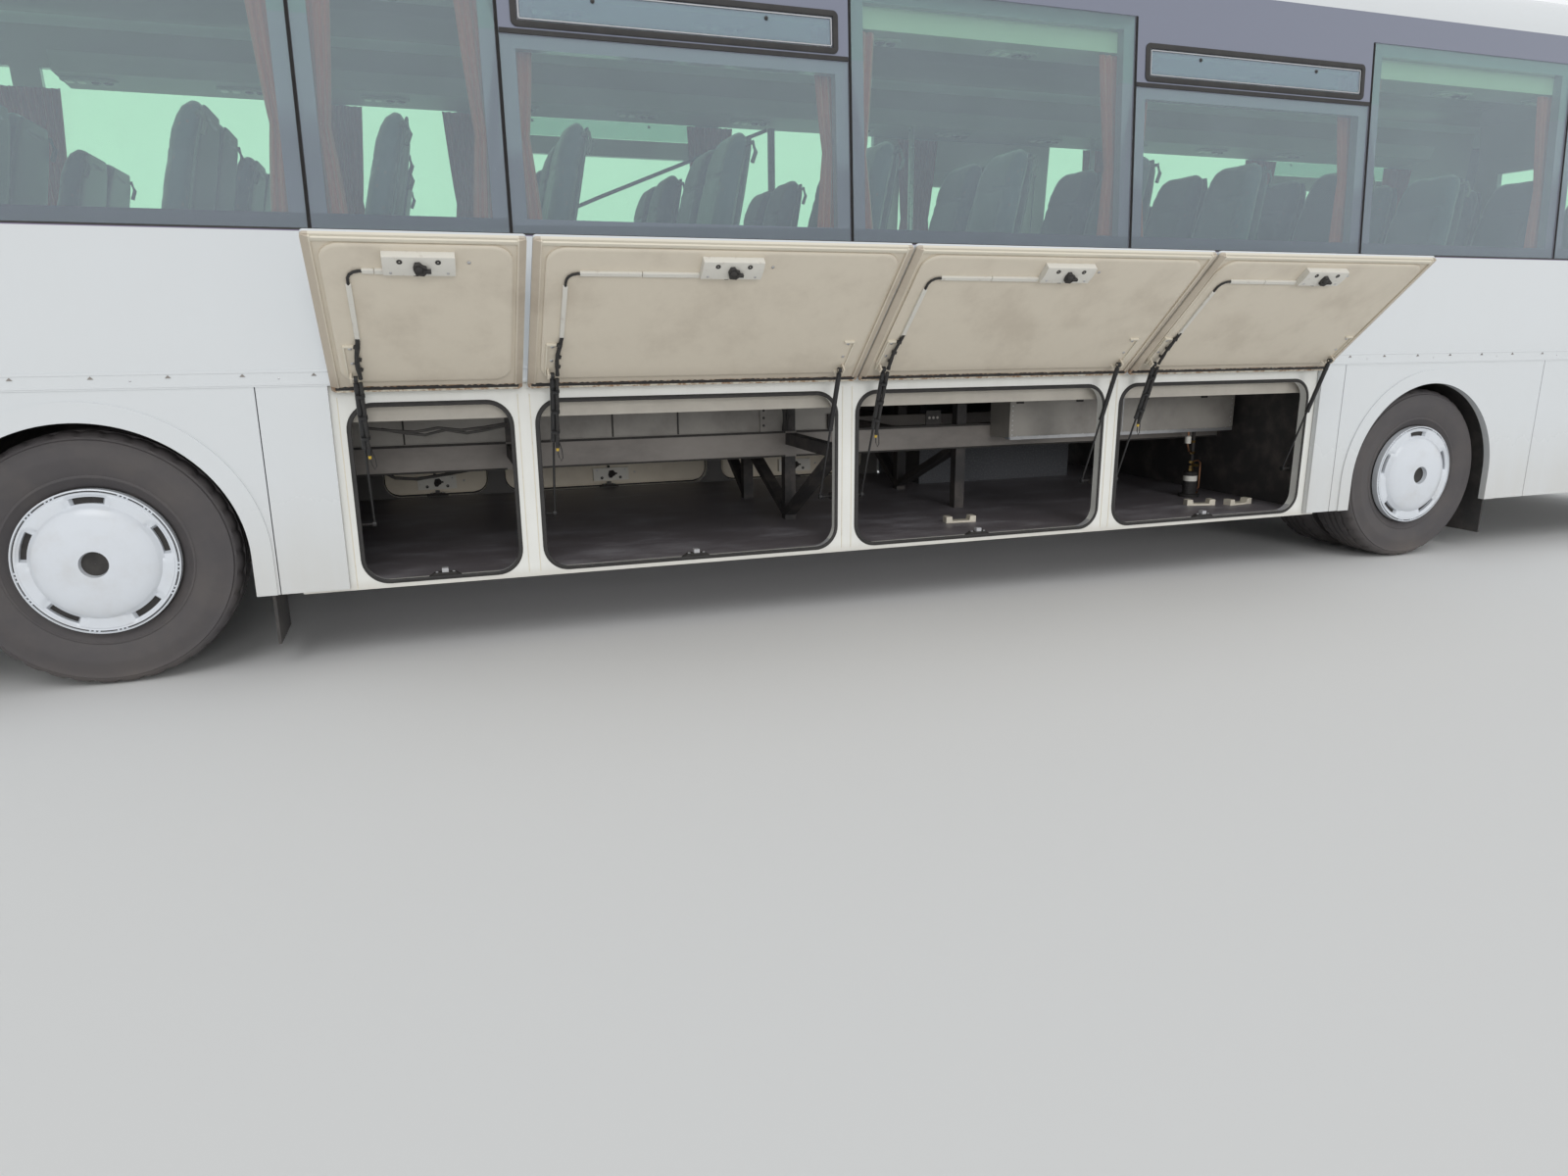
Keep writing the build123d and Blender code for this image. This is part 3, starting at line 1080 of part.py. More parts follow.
for axle_x, place, rim, middles in (
    (FRONT_AXLE_X, "front", SINGLE_RIM, (TYRE_Y,)),
    (REAR_AXLE_X, "rear", TWIN_RIM, (TYRE_Y, TYRE_Y - TWIN_PITCH)),
):
    for hand, side in ((1, "left"), (-1, "right")):
        with BuildPart() as tyres:
            for middle in middles:
                turned(TYRE_OUTLINE, axle_x, hand * middle, hand)
        write(tyres, f"tyre_{place}_{side}")
        face = Plane((axle_x, hand * (COVER_Y - 4), TYRE_RADIUS), x_dir=(1, 0, 0), z_dir=(0, hand, 0))
        with BuildPart() as wheel:
            turned(rim, axle_x, hand * TYRE_Y, hand)
            with BuildSketch(face):
                for turn in range(COVER_SLOTS):
                    middle = 90 + (turn + 0.5) * 360 / COVER_SLOTS
                    with BuildLine():
                        outer = CenterArc((0, 0), 259, middle - 21, 42)
                        inner = CenterArc((0, 0), 206, middle - 15, 30)
                        Line(outer @ 0, inner @ 0)
                        Line(outer @ 1, inner @ 1)
                    make_face()
            extrude(amount=6)
            with BuildSketch(face.offset(12)):
                for turn in range(COVER_SLOTS):
                    SlotArc(CenterArc((0, 0), 239, 90 + turn * 360 / COVER_SLOTS - SLOT_HALF, 2 * SLOT_HALF), 27)
            extrude(amount=-SLOT_DEEP - 12, mode=Mode.SUBTRACT)
        write(wheel, f"wheel_{place}_{side}")
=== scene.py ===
"""Touring coach with its luggage bays open: finishes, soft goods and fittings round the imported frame.

Everything is in metres in the frame's own axes: X forward, Y left, Z up, ground at zero.
A station is a distance aft of the front axle.
"""

import math
import random

import bmesh
import bpy
from mathutils import Matrix, Vector
from mathutils.bvhtree import BVHTree


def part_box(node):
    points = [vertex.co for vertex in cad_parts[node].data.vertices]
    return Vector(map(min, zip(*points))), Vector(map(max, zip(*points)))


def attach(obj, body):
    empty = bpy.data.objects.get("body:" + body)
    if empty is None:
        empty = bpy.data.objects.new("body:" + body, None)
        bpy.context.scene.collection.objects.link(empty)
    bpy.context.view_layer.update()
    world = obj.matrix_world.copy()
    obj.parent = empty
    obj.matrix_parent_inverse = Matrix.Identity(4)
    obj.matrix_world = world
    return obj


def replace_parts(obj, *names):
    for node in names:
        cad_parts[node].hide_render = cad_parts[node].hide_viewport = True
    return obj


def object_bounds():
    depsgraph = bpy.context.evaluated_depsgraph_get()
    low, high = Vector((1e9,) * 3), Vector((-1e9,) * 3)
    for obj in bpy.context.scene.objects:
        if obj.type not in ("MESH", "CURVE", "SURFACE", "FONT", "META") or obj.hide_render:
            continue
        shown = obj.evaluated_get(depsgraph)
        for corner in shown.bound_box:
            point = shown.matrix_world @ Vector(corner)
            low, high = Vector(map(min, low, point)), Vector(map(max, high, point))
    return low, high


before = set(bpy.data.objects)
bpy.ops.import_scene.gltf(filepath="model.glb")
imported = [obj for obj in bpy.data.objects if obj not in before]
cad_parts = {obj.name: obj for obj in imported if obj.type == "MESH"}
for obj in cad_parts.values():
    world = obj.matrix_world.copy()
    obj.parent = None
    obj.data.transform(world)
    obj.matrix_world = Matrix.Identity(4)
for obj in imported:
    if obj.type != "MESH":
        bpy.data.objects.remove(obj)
cad_low, cad_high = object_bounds()
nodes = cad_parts

# Driving dimensions, at real size: the ends and the roof are guessed
MID_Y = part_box("roof")[0].y / 2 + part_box("roof")[1].y / 2
FRONT_AXLE_X = 3.630
WHEELBASE = 6.700
TYRE_RADIUS = 0.495
SIDE = 1.250
LEAN = 0.066
SILL_Z = 0.309
WAIST_Z = 1.139
RAIL_TOP = 1.202
WINDOW_Z = 1.713
BAND_Z = 2.765
HINGE_Z = 1.122
LID_OPEN = 132.5
LID_SKIN = 0.022
LID_THICK = 0.030
# Width of the painted shade band along each lid's front and rear edges
SIDE_BAND = 0.026
FLANGE_START = 0.775
BAY_FLOOR_TOP = 0.333
BAY_BOTTOM = 0.336
BAY_TOP = 1.059
BAY_FACE = 1.215
LEFT_LIDS = ((0.895, 1.614), (1.635, 3.095), (3.105, 4.560), (4.575, 5.850))
LEFT_BAYS = ((0.937, 1.567), (1.671, 3.026), (3.129, 4.489), (4.590, 5.815))
RIGHT_LIDS = ((0.895, 1.614), (1.635, 3.095), (3.105, 4.250))
RIGHT_BAYS = ((0.937, 1.567), (1.671, 3.026), (3.129, 4.180))

# Camera of the photograph, whose frame is 1600 by 1200
CAMERA_STATION = 1.245
CAMERA_SIDE = 5.623
CAMERA_Z = 1.319
CAMERA_YAW = math.radians(19.006)
CAMERA_PITCH = math.radians(14.027)
CAMERA_ROLL = math.radians(-0.399)
FOCAL_PIXELS = 1033.9
PHOTO_WIDTH = 1600
SENSOR = 36.0


def at(station):
    """X of a station aft of the front axle."""
    return FRONT_AXLE_X - station


def side_y(hand, z, inset=0.0):
    """Y of a side's outer face at a height."""
    return MID_Y + hand * (SIDE - LEAN * max(0.0, z - WINDOW_Z) - inset)


# Shader maths: a socket with Python's operators
class Wire:
    """One socket of a material's tree. An expression on values adds its Math nodes."""

    def __init__(self, tree, socket=None):
        self.tree = tree
        self.socket = socket

    def make(self, kind, settings=None, inputs=None, output=0):
        """Add a node: its settings first, then the values or links of its sockets."""
        node = self.tree.nodes.new(kind)
        for key, value in (settings or {}).items():
            if key == "stops":
                ramp = node.color_ramp.elements
                while len(ramp) < len(value):
                    ramp.new(0.5)
                for stop, (place, colour) in zip(ramp, value):
                    stop.position = place
                    stop.color = (*colour, 1.0)
            else:
                setattr(node, key, value)
        for key, value in (inputs or {}).items():
            if isinstance(value, Wire):
                self.tree.links.new(value.socket, node.inputs[key])
            else:
                node.inputs[key].default_value = value
        return Wire(self.tree, node.outputs[output])

    def math(self, operation, *values):
        return self.make("ShaderNodeMath", {"operation": operation}, dict(enumerate(values)))

    def __add__(self, other):
        return self.math("ADD", self, other)

    __radd__ = __add__

    def __sub__(self, other):
        return self.math("SUBTRACT", self, other)

    def __rsub__(self, other):
        return self.math("SUBTRACT", other, self)

    def __mul__(self, other):
        return self.math("MULTIPLY", self, other)

    __rmul__ = __mul__

    def __gt__(self, other):
        return self.math("GREATER_THAN", self, other)

    def __lt__(self, other):
        return self.math("LESS_THAN", self, other)

    def __abs__(self):
        return self.math("ABSOLUTE", self)

    def sine(self):
        return self.math("SINE", self)

    def least(self, other):
        return self.math("MINIMUM", self, other)

    def most(self, other):
        return self.math("MAXIMUM", self, other)

    def step(self, low, high):
        """0 below low, 1 above high, smooth between."""
        return self.make("ShaderNodeMapRange", {"interpolation_type": "SMOOTHSTEP"},
                         {"Value": self, "From Min": low, "From Max": high})

    def place(self):
        """Position in the frame at rest."""
        return self.make("ShaderNodeTexCoord", output="Object")

    def facing(self, direction):
        """How far the surface faces a direction, at rest."""
        normal = self.make("ShaderNodeTexCoord", output="Normal")
        return self.make("ShaderNodeVectorMath", {"operation": "DOT_PRODUCT"},
                         {0: normal, 1: direction}, "Value")

    def along(self, direction, point=(0.0, 0.0, 0.0)):
        """Distance from a point along a direction."""
        offset = self.make("ShaderNodeVectorMath", {"operation": "SUBTRACT"}, {0: self.place(), 1: point})
        return self.make("ShaderNodeVectorMath", {"operation": "DOT_PRODUCT"}, {0: offset, 1: direction},
                         "Value")

    def axes(self):
        """X, Y and Z in the frame at rest."""
        place = self.place()
        return [self.make("ShaderNodeSeparateXYZ", None, {0: place}, n) for n in range(3)]

    def noise(self, scale, detail=3.0, rough=0.5, stretch=(1.0, 1.0, 1.0)):
        """Cloudy value from 0 to 1."""
        vector = self.make("ShaderNodeVectorMath", {"operation": "MULTIPLY"}, {0: self.place(), 1: stretch})
        return self.make("ShaderNodeTexNoise", None,
                         {"Vector": vector, "Scale": scale, "Detail": detail, "Roughness": rough})

    def mix(self, share, first, second):
        """Colour between two colours."""
        ends = [(*c, 1.0) if isinstance(c, tuple) else c for c in (first, second)]
        return self.make("ShaderNodeMix", {"data_type": "RGBA"}, {0: share, 6: ends[0], 7: ends[1]}, 2)

    def bump(self, height, distance=0.001, strength=1.0):
        return self.make("ShaderNodeBump", None,
                         {"Height": height, "Distance": distance, "Strength": strength})


MATERIALS = {}


def material(name):
    """Decorator for a function that draws one finish: it gets the tree and returns its last shader."""
    def keep(draw):
        made = bpy.data.materials.new(name)
        made.use_nodes = True
        made.node_tree.nodes.clear()
        finished = draw(Wire(made.node_tree))
        output = made.node_tree.nodes.new("ShaderNodeOutputMaterial")
        made.node_tree.links.new(finished.socket, output.inputs["Surface"])
        MATERIALS[name] = made
        return draw
    return keep


def surface(tree, colour, rough=0.5, metal=0.0, normal=None, **more):
    """Principled finish. more holds other sockets, with _ for a space in their names."""
    inputs = {"Base Color": (*colour, 1.0) if isinstance(colour, tuple) else colour,
              "Roughness": rough, "Metallic": metal}
    if normal is not None:
        inputs["Normal"] = normal
    inputs.update({key.replace("_", " "): value for key, value in more.items()})
    return tree.make("ShaderNodeBsdfPrincipled", None, inputs)


WHITE = (0.66, 0.685, 0.70)
# Dust colour, also the colour of the painted shadow under the hinges on the bay surround
GRIME_AND_SHADE = (0.50, 0.46, 0.39)
BAND = (0.185, 0.200, 0.260)
UNDER_GLASS = (0.225, 0.190, 0.290)
HOPPER_SILL_Z = 2.468
GLAZED = (-2.225, 8.960)
CAB_REAR = -0.595
CAB_SILL_Z = 1.420
FRONT_DOOR_REAR = -1.190
MID_DOOR = (4.300, 5.550)
TRIM = (0.36, 0.34, 0.31)
BEIGE = (0.70, 0.635, 0.525)
CREAM = (0.72, 0.67, 0.56)


def enamel(tree, inner, band, shade=BAND):
    """White coach enamel: dust low down, inner lining where inner says so and a dark window band."""
    z = tree.axes()[2]
    cloud = tree.noise(2.3, 5.0, 0.6)
    streak = tree.noise(9.0, 4.0, 0.6, (1.0, 1.0, 0.08))
    low = 1.0 - z.step(SILL_Z, SILL_Z + 0.55)
    dust = (low * 0.42 + 0.07) * (cloud * 0.6 + streak * 0.7)
    colour = tree.mix(dust, WHITE, GRIME_AND_SHADE)
    if band is not None:
        colour = tree.mix(band, colour, shade)
    if inner is not None:
        colour = tree.mix(inner, colour, TRIM)
    rough = 0.22 + dust * 0.5
    ripple = tree.bump(tree.noise(1.4, 2.0, 0.4), 0.004, 0.25)
    return surface(tree, colour, rough, normal=ripple, Coat_Weight=0.5, Coat_Roughness=0.06)


@material("side_enamel")
def side_enamel(tree):
    x, y, z = tree.axes()
    from_mid = y - MID_Y
    hand = (from_mid > 0.0) * 2.0 - 1.0
    inner = (tree.facing((0.0, 1.0, 0.0)) * hand < -0.5)
    cab = (x > at(CAB_REAR)) * (z > CAB_SILL_Z) * (from_mid > 0.0)
    glazed = (z < HOPPER_SILL_Z) * (x > at(GLAZED[1])) * (x < at(GLAZED[0]))
    mid_door = (x < at(MID_DOOR[0])) * (x > at(MID_DOOR[1]))
    doors = (from_mid < 0.0) * mid_door.most(x > at(FRONT_DOOR_REAR))
    shade = tree.mix(glazed * (1.0 - doors), BAND, UNDER_GLASS)
    return enamel(tree, inner, (z > WINDOW_Z - 0.004).most(cab), shade)


@material("roof_enamel")
def roof_enamel(tree):
    return enamel(tree, tree.facing((0.0, 0.0, 1.0)) < -0.25, None)


@material("front_enamel")
def front_enamel(tree):
    z = tree.axes()[2]
    return enamel(tree, tree.facing((1.0, 0.0, 0.0)) < -0.5, (z > 1.23) * (z < 2.80))


@material("rear_enamel")
def rear_enamel(tree):
    z = tree.axes()[2]
    return enamel(tree, tree.facing((1.0, 0.0, 0.0)) > 0.5, (z > WINDOW_Z) * (z < 2.80))


@material("panel_enamel")
def panel_enamel(tree):
    return enamel(tree, None, None)


@material("surround_enamel")
def surround_enamel(tree):
    y, z = tree.axes()[1:]
    streak = tree.noise(14.0, 5.0, 0.65, (1.0, 1.0, 0.12))
    cloud = tree.noise(5.0, 4.0, 0.6)
    # Streaks and clouds of dirt, darker along the sill, and a painted shadow in a band just under the lid
    # hinges
    edge = (1.0 - z.step(SILL_Z, SILL_Z + 0.05)) * 0.6 + z.step(1.085, 1.135) * 0.4
    dirt_and_shade = (streak * 0.28 + cloud * 0.16 + edge * 0.55).least(1.0)
    colour = tree.mix(dirt_and_shade, (0.84, 0.85, 0.82), GRIME_AND_SHADE)
    striker = (abs(y - MID_Y) < 1.2005) * (z > 0.3365) * (z < 0.3705)
    colour = tree.mix(striker, colour, (0.46, 0.46, 0.47))
    # Painted shade: faces turned inward on the right side, behind the closed lids, are near black
    shade_behind_closed_lids = (tree.facing((0.0, 1.0, 0.0)) > 0.5) * (y < MID_Y - 1.10)
    colour = tree.mix(shade_behind_closed_lids, colour, (0.10, 0.095, 0.09))
    return surface(tree, colour, 0.34 + dirt_and_shade * 0.35, Coat_Weight=0.2, Coat_Roughness=0.15)


def lid_finish(tree, hand, opened):
    """White skin outside; beige inside with stains and rust, and painted shade along the front and rear side
    bands and towards the hinge root.
    """
    turn = math.radians(opened - 90)
    outward = (0.0, -hand * math.sin(turn), math.cos(turn))
    down = (0.0, hand * math.cos(turn), math.sin(turn))
    reach = tree.along(down, (0.0, MID_Y + hand * SIDE, HINGE_Z))
    cloud = tree.noise(3.2, 6.0, 0.62)
    fine = tree.noise(30.0, 4.0, 0.7)
    # Painted shade: the lining darkens towards the hinge root, in the corner against the body
    root = 1.0 - reach.step(0.02, 0.16)
    x = tree.axes()[0]
    # Painted shade: a darker band along the front and rear edges, on the sloping side wedges
    side = None
    for front, rear in LEFT_LIDS if hand > 0 else RIGHT_LIDS:
        for edge in (front, rear):
            close = abs(x - at(edge)) < SIDE_BAND
            side = close if side is None else side.most(close)
    stain_and_shade = (cloud.step(0.45, 0.75) * 0.35 + fine * 0.12 + root * 0.45 + side * 0.55).least(1.0)
    beige = tree.mix(stain_and_shade, BEIGE, (0.42, 0.355, 0.28))
    beige = tree.mix((reach > FLANGE_START) * (1.0 - side), beige, CREAM)
    beige = tree.mix((reach < 0.045) * fine.step(0.35, 0.6), beige, (0.30, 0.20, 0.13))
    lift = tree.along(outward, (0.0, MID_Y + hand * SIDE, HINGE_Z))
    skin = (tree.facing(outward) > 0.5).most(lift > -0.010)
    colour = tree.mix(skin, beige, WHITE)
    return surface(tree, colour, 0.42 - skin * 0.18 + stain_and_shade * 0.2, Coat_Weight=skin * 0.5,
                   Coat_Roughness=0.06)


@material("open_lid")
def open_lid(tree):
    return lid_finish(tree, 1, LID_OPEN)


@material("closed_lid")
def closed_lid(tree):
    return lid_finish(tree, -1, 0.0)


GLASS_GLOSS = 0.8
REFLECTION_STREAK = 0.03


def tinted(tree, through, reflection_colour, share, rough=0.03):
    """Thin tinted pane: light passes in its own tint, under a diffuse layer whose colour is a painted
    reflection, mixed in more towards grazing angles.
    """
    clear = tree.make("ShaderNodeBsdfTransparent", None, {"Color": (*through, 1.0)})
    streak = tree.noise(3.0, 3.0, 0.5)
    reflection_layer = surface(tree, reflection_colour, rough, Specular_IOR_Level=0.8)
    away = tree.make("ShaderNodeLayerWeight", None, {"Blend": 0.5}, "Facing")
    gloss = away * away * away * away * GLASS_GLOSS
    factor = (share + gloss + (streak - 0.5) * REFLECTION_STREAK).least(1.0).most(0.0)
    return tree.make("ShaderNodeMixShader", None, {0: factor, 1: clear, 2: reflection_layer})


@material("side_glass")
def side_glass(tree):
    # The pale blue layer is a painted reflection of the sky
    return tinted(tree, (0.85, 1.0, 0.89), (0.80, 0.82, 1.0), 0.14)


@material("hopper_glass")
def hopper_glass(tree):
    # The grey-blue layer is a painted reflection, heavier on the opening lights
    return tinted(tree, (0.80, 0.92, 0.88), (0.44, 0.48, 0.60), 0.36)


@material("screen_glass")
def screen_glass(tree):
    return tinted(tree, (0.82, 0.93, 0.88), (0.10, 0.12, 0.14), 0.10)


@material("seal_rubber")
def seal_rubber(tree):
    dust = tree.noise(18.0, 5.0, 0.6)
    return surface(tree, tree.mix(dust * 0.35, (0.016, 0.016, 0.017), (0.11, 0.10, 0.09)), 0.62)


@material("tyre_rubber")
def tyre_rubber(tree):
    cloud = tree.noise(4.0, 5.0, 0.6)
    fine = tree.noise(160.0, 3.0, 0.6)
    z = tree.axes()[2]
    low = 1.0 - z.step(0.0, 0.16)
    dust = (cloud.step(0.35, 0.8) * 0.35 + low * 0.3).least(1.0)
    colour = tree.mix(dust, (0.070, 0.064, 0.066), (0.15, 0.13, 0.115))
    return surface(tree, colour, 0.58 + dust * 0.25, normal=tree.bump(fine, 0.0006, 0.5))


@material("cover_white")
def cover_white(tree):
    cloud = tree.noise(6.0, 5.0, 0.6)
    colour = tree.mix(cloud.step(0.45, 0.85) * 0.35, (0.66, 0.69, 0.73), (0.46, 0.43, 0.39))
    return surface(tree, colour, 0.28, Coat_Weight=0.4, Coat_Roughness=0.1)


@material("dark_steel")
def dark_steel(tree):
    cloud = tree.noise(7.0, 5.0, 0.65)
    colour = tree.mix(cloud.step(0.4, 0.8), (0.022, 0.021, 0.021), (0.075, 0.066, 0.058))
    return surface(tree, colour, 0.55 + cloud * 0.2, 0.2)


@material("frame_steel")
def frame_steel(tree):
    y, z = tree.axes()[1:]
    bearer = (abs(y - MID_Y) > 1.085) * (z > 0.986)
    cloud = tree.noise(7.0, 5.0, 0.65)
    dark = tree.mix(cloud.step(0.4, 0.8), (0.045, 0.043, 0.043), (0.12, 0.105, 0.095))
    colour = tree.mix(bearer, dark, tree.mix(cloud, (0.52, 0.49, 0.43), (0.36, 0.33, 0.29)))
    return surface(tree, colour, 0.55 + cloud * 0.2)


@material("rail_steel")
def rail_steel(tree):
    cloud = tree.noise(3.0, 6.0, 0.65, (0.4, 1.0, 1.0))
    spot = tree.noise(26.0, 4.0, 0.6)
    share = (cloud.step(0.3, 0.75) * 0.7 + spot * 0.2).least(1.0)
    colour = tree.mix(share, (0.30, 0.275, 0.25), (0.15, 0.135, 0.125))
    return surface(tree, colour, 0.48, 0.1)


@material("bay_lining")
def bay_lining(tree):
    # Lighter bluish patches and lengthwise streaks on the dark lining
    pale_patch = tree.noise(5.0, 6.0, 0.7, (0.5, 1.0, 1.0))
    line = tree.noise(22.0, 5.0, 0.7, (0.12, 1.0, 1.0))
    share = (pale_patch.step(0.42, 0.75) * 0.6 + line.step(0.55, 0.8) * 0.4).least(1.0)
    colour = tree.mix(share, (0.15, 0.135, 0.145), (0.40, 0.39, 0.42))
    return surface(tree, colour, 0.42 + share * 0.3)


@material("duct_sheet")
def duct_sheet(tree):
    cloud = tree.noise(2.5, 6.0, 0.65)
    y, z = tree.axes()[1:]
    flange = (z < 0.752) * (y > MID_Y + 0.6)
    colour = tree.mix(cloud.step(0.35, 0.8), (0.34, 0.32, 0.29), (0.20, 0.185, 0.17))
    colour = tree.mix(flange, colour, (0.27, 0.30, 0.36))
    return surface(tree, colour, 0.35 + cloud * 0.2, 0.15)


@material("lamp_clear")
def lamp_clear(tree):
    return tinted(tree, (0.95, 0.97, 1.0), (0.35, 0.37, 0.40), 0.12)


@material("lamp_red")
def lamp_red(tree):
    z = tree.axes()[2]
    amber = (z > 1.17) * (z < 1.30)
    clear = (z > 1.04) * (z < 1.17)
    colour = tree.mix(amber, (0.42, 0.012, 0.012), (0.75, 0.22, 0.01))
    colour = tree.mix(clear, colour, (0.72, 0.72, 0.72))
    ribs = tree.bump((z * 420.0).sine(), 0.0012, 0.5)
    return surface(tree, colour, 0.16, normal=ribs, Coat_Weight=1.0, Coat_Roughness=0.03)


@material("black_plastic")
def black_plastic(tree):
    grain = tree.noise(260.0, 2.0, 0.5)
    cloud = tree.noise(5.0, 4.0, 0.6)
    colour = tree.mix(cloud * 0.3, (0.014, 0.014, 0.015), (0.05, 0.048, 0.046))
    return surface(tree, colour, 0.42, normal=tree.bump(grain, 0.0004, 0.5))


@material("grey_trim")
def grey_trim(tree):
    grain = tree.noise(200.0, 2.0, 0.5)
    colour = tree.mix(tree.noise(2.0, 3.0, 0.5) * 0.5, (0.42, 0.41, 0.385), (0.33, 0.32, 0.30))
    return surface(tree, colour, 0.6, normal=tree.bump(grain, 0.0004, 0.4))


@material("floor_vinyl")
def floor_vinyl(tree):
    fleck = tree.noise(110.0, 3.0, 0.7)
    return surface(tree, tree.mix(fleck.step(0.5, 0.7), (0.075, 0.078, 0.085), (0.16, 0.16, 0.165)), 0.55)


@material("housing_black")
def housing_black(tree):
    cloud = tree.noise(5.0, 5.0, 0.6)
    stone = tree.noise(70.0, 3.0, 0.6)
    colour = tree.mix(cloud.step(0.35, 0.8), (0.045, 0.043, 0.043), (0.11, 0.10, 0.09))
    return surface(tree, colour, 0.8, normal=tree.bump(stone, 0.003, 0.5))


@material("seat_plush")
def seat_plush(tree):
    weave = tree.noise(240.0, 2.0, 0.6)
    cell = tree.make("ShaderNodeTexVoronoi", None, {"Vector": tree.place(), "Scale": 26.0})
    dash = cell.step(0.10, 0.16)
    colour = tree.mix(dash, (0.16, 0.055, 0.05), (0.032, 0.038, 0.062))
    colour = tree.mix(weave * 0.5, colour, (0.012, 0.014, 0.022))
    return surface(tree, colour, 0.85, normal=tree.bump(weave, 0.0015, 0.6), Sheen_Weight=0.5)


@material("seat_shell")
def seat_shell(tree):
    grain = tree.noise(220.0, 2.0, 0.5)
    return surface(tree, (0.045, 0.046, 0.05), 0.5, normal=tree.bump(grain, 0.0005, 0.4))


@material("curtain_cloth")
def curtain_cloth(tree):
    weave = tree.noise(420.0, 2.0, 0.6)
    cloud = tree.noise(3.0, 3.0, 0.5)
    colour = tree.mix(cloud, (0.44, 0.07, 0.045), (0.20, 0.040, 0.035))
    return surface(tree, colour, 0.9, normal=tree.bump(weave, 0.0006, 0.5), Sheen_Weight=0.4)


@material("bright_steel")
def bright_steel(tree):
    return surface(tree, (0.62, 0.62, 0.63), 0.22 + tree.noise(60.0, 2.0, 0.5) * 0.15, 1.0)


@material("mirror_silver")
def mirror_silver(tree):
    return surface(tree, (0.86, 0.87, 0.88), 0.03 + tree.noise(12.0, 2.0, 0.5) * 0.03, 1.0)


@material("slot_black")
def slot_black(tree):
    return surface(tree, tree.mix(tree.noise(30.0), (0.020, 0.019, 0.019), (0.06, 0.055, 0.05)), 0.7)


@material("loom_black")
def loom_black(tree):
    wrap = (tree.noise(90.0, 2.0, 0.5, (1.0, 1.0, 3.0)) - 0.5) * 2.0
    return surface(tree, tree.mix(tree.noise(50.0), (0.012, 0.012, 0.012), (0.045, 0.042, 0.04)), 0.6,
                   normal=tree.bump(wrap, 0.004, 0.6))


@material("connector_yellow")
def connector_yellow(tree):
    return surface(tree, tree.mix(tree.noise(60.0), (0.72, 0.50, 0.06), (0.50, 0.33, 0.04)), 0.45)


@material("strip_cream")
def strip_cream(tree):
    worn = tree.noise(24.0, 5.0, 0.7)
    return surface(tree, tree.mix(worn.step(0.5, 0.85) * 0.7, CREAM, (0.42, 0.36, 0.29)), 0.42)


@material("rusty_cream")
def rusty_cream(tree):
    worn = tree.noise(38.0, 5.0, 0.7)
    return surface(tree, tree.mix(worn.step(0.42, 0.62), CREAM, (0.36, 0.22, 0.13)), 0.6)


@material("copper_pipe")
def copper_pipe(tree):
    return surface(tree, tree.mix(tree.noise(30.0), (0.60, 0.29, 0.15), (0.28, 0.15, 0.10)), 0.35, 1.0)


@material("zinc_sheet")
def zinc_sheet(tree):
    cloud = tree.noise(20.0, 4.0, 0.6)
    return surface(tree, tree.mix(cloud, (0.58, 0.58, 0.58), (0.40, 0.40, 0.41)), 0.35 + cloud * 0.2, 0.8)


@material("brass")
def brass(tree):
    return surface(tree, tree.mix(tree.noise(40.0), (0.62, 0.42, 0.14), (0.30, 0.20, 0.09)), 0.3, 1.0)


@material("latch_white")
def latch_white(tree):
    worn = tree.noise(30.0, 5.0, 0.7)
    return surface(tree, tree.mix(worn.step(0.55, 0.8) * 0.6, (0.70, 0.68, 0.62), (0.40, 0.34, 0.27)), 0.36)


@material("engine_iron")
def engine_iron(tree):
    cloud = tree.noise(9.0, 6.0, 0.65)
    return surface(tree, tree.mix(cloud, (0.10, 0.10, 0.10), (0.22, 0.20, 0.17)), 0.6, 0.4,
                   normal=tree.bump(cloud, 0.02, 0.6))


FINISHES = {
    "roof": "roof_enamel", "side_left": "side_enamel", "side_right": "side_enamel",
    "side_glass": "side_glass", "passenger_doors": "side_enamel", "skirts": "panel_enamel",
    "bay_surround_left": "surround_enamel", "bay_surround_right": "surround_enamel",
    "bay_seals": "seal_rubber", "front_mask": "front_enamel", "windscreen": "screen_glass",
    "headlamps": "lamp_clear", "front_bumper": "panel_enamel", "tail_lamps": "lamp_red",
    "rear_mask": "rear_enamel", "rear_window": "side_glass", "rear_bumper": "panel_enamel",
    "engine_lid": "panel_enamel", "mirrors": "black_plastic", "cabin_floor": "floor_vinyl",
    "chassis_rails": "rail_steel", "bay_frame": "frame_steel", "bay_pillars_left": "surround_enamel",
    "strut_brackets": "dark_steel", "bay_floor": "bay_lining", "duct_box": "duct_sheet",
    "air_dryer": "dark_steel", "seats": "seat_plush", "dashboard": "black_plastic", "racks": "grey_trim",
    "curtains": "curtain_cloth", "wheel_housings": "housing_black", "engine": "engine_iron",
    "front_axle": "dark_steel", "rear_axle": "dark_steel", "knuckle_left": "dark_steel",
    "knuckle_right": "dark_steel",
}
for name, node in nodes.items():
    finish = FINISHES.get(name)
    if finish is None:
        for start, chosen in (("lid_left", "open_lid"), ("lid_right", "closed_lid"),
                              ("strut_barrel", "black_plastic"), ("strut_rod", "black_plastic"),
                              ("tyre", "tyre_rubber"), ("wheel_", "cover_white")):
            if name.startswith(start):
                finish = chosen
    node.data.materials.clear()
    node.data.materials.append(MATERIALS[finish])


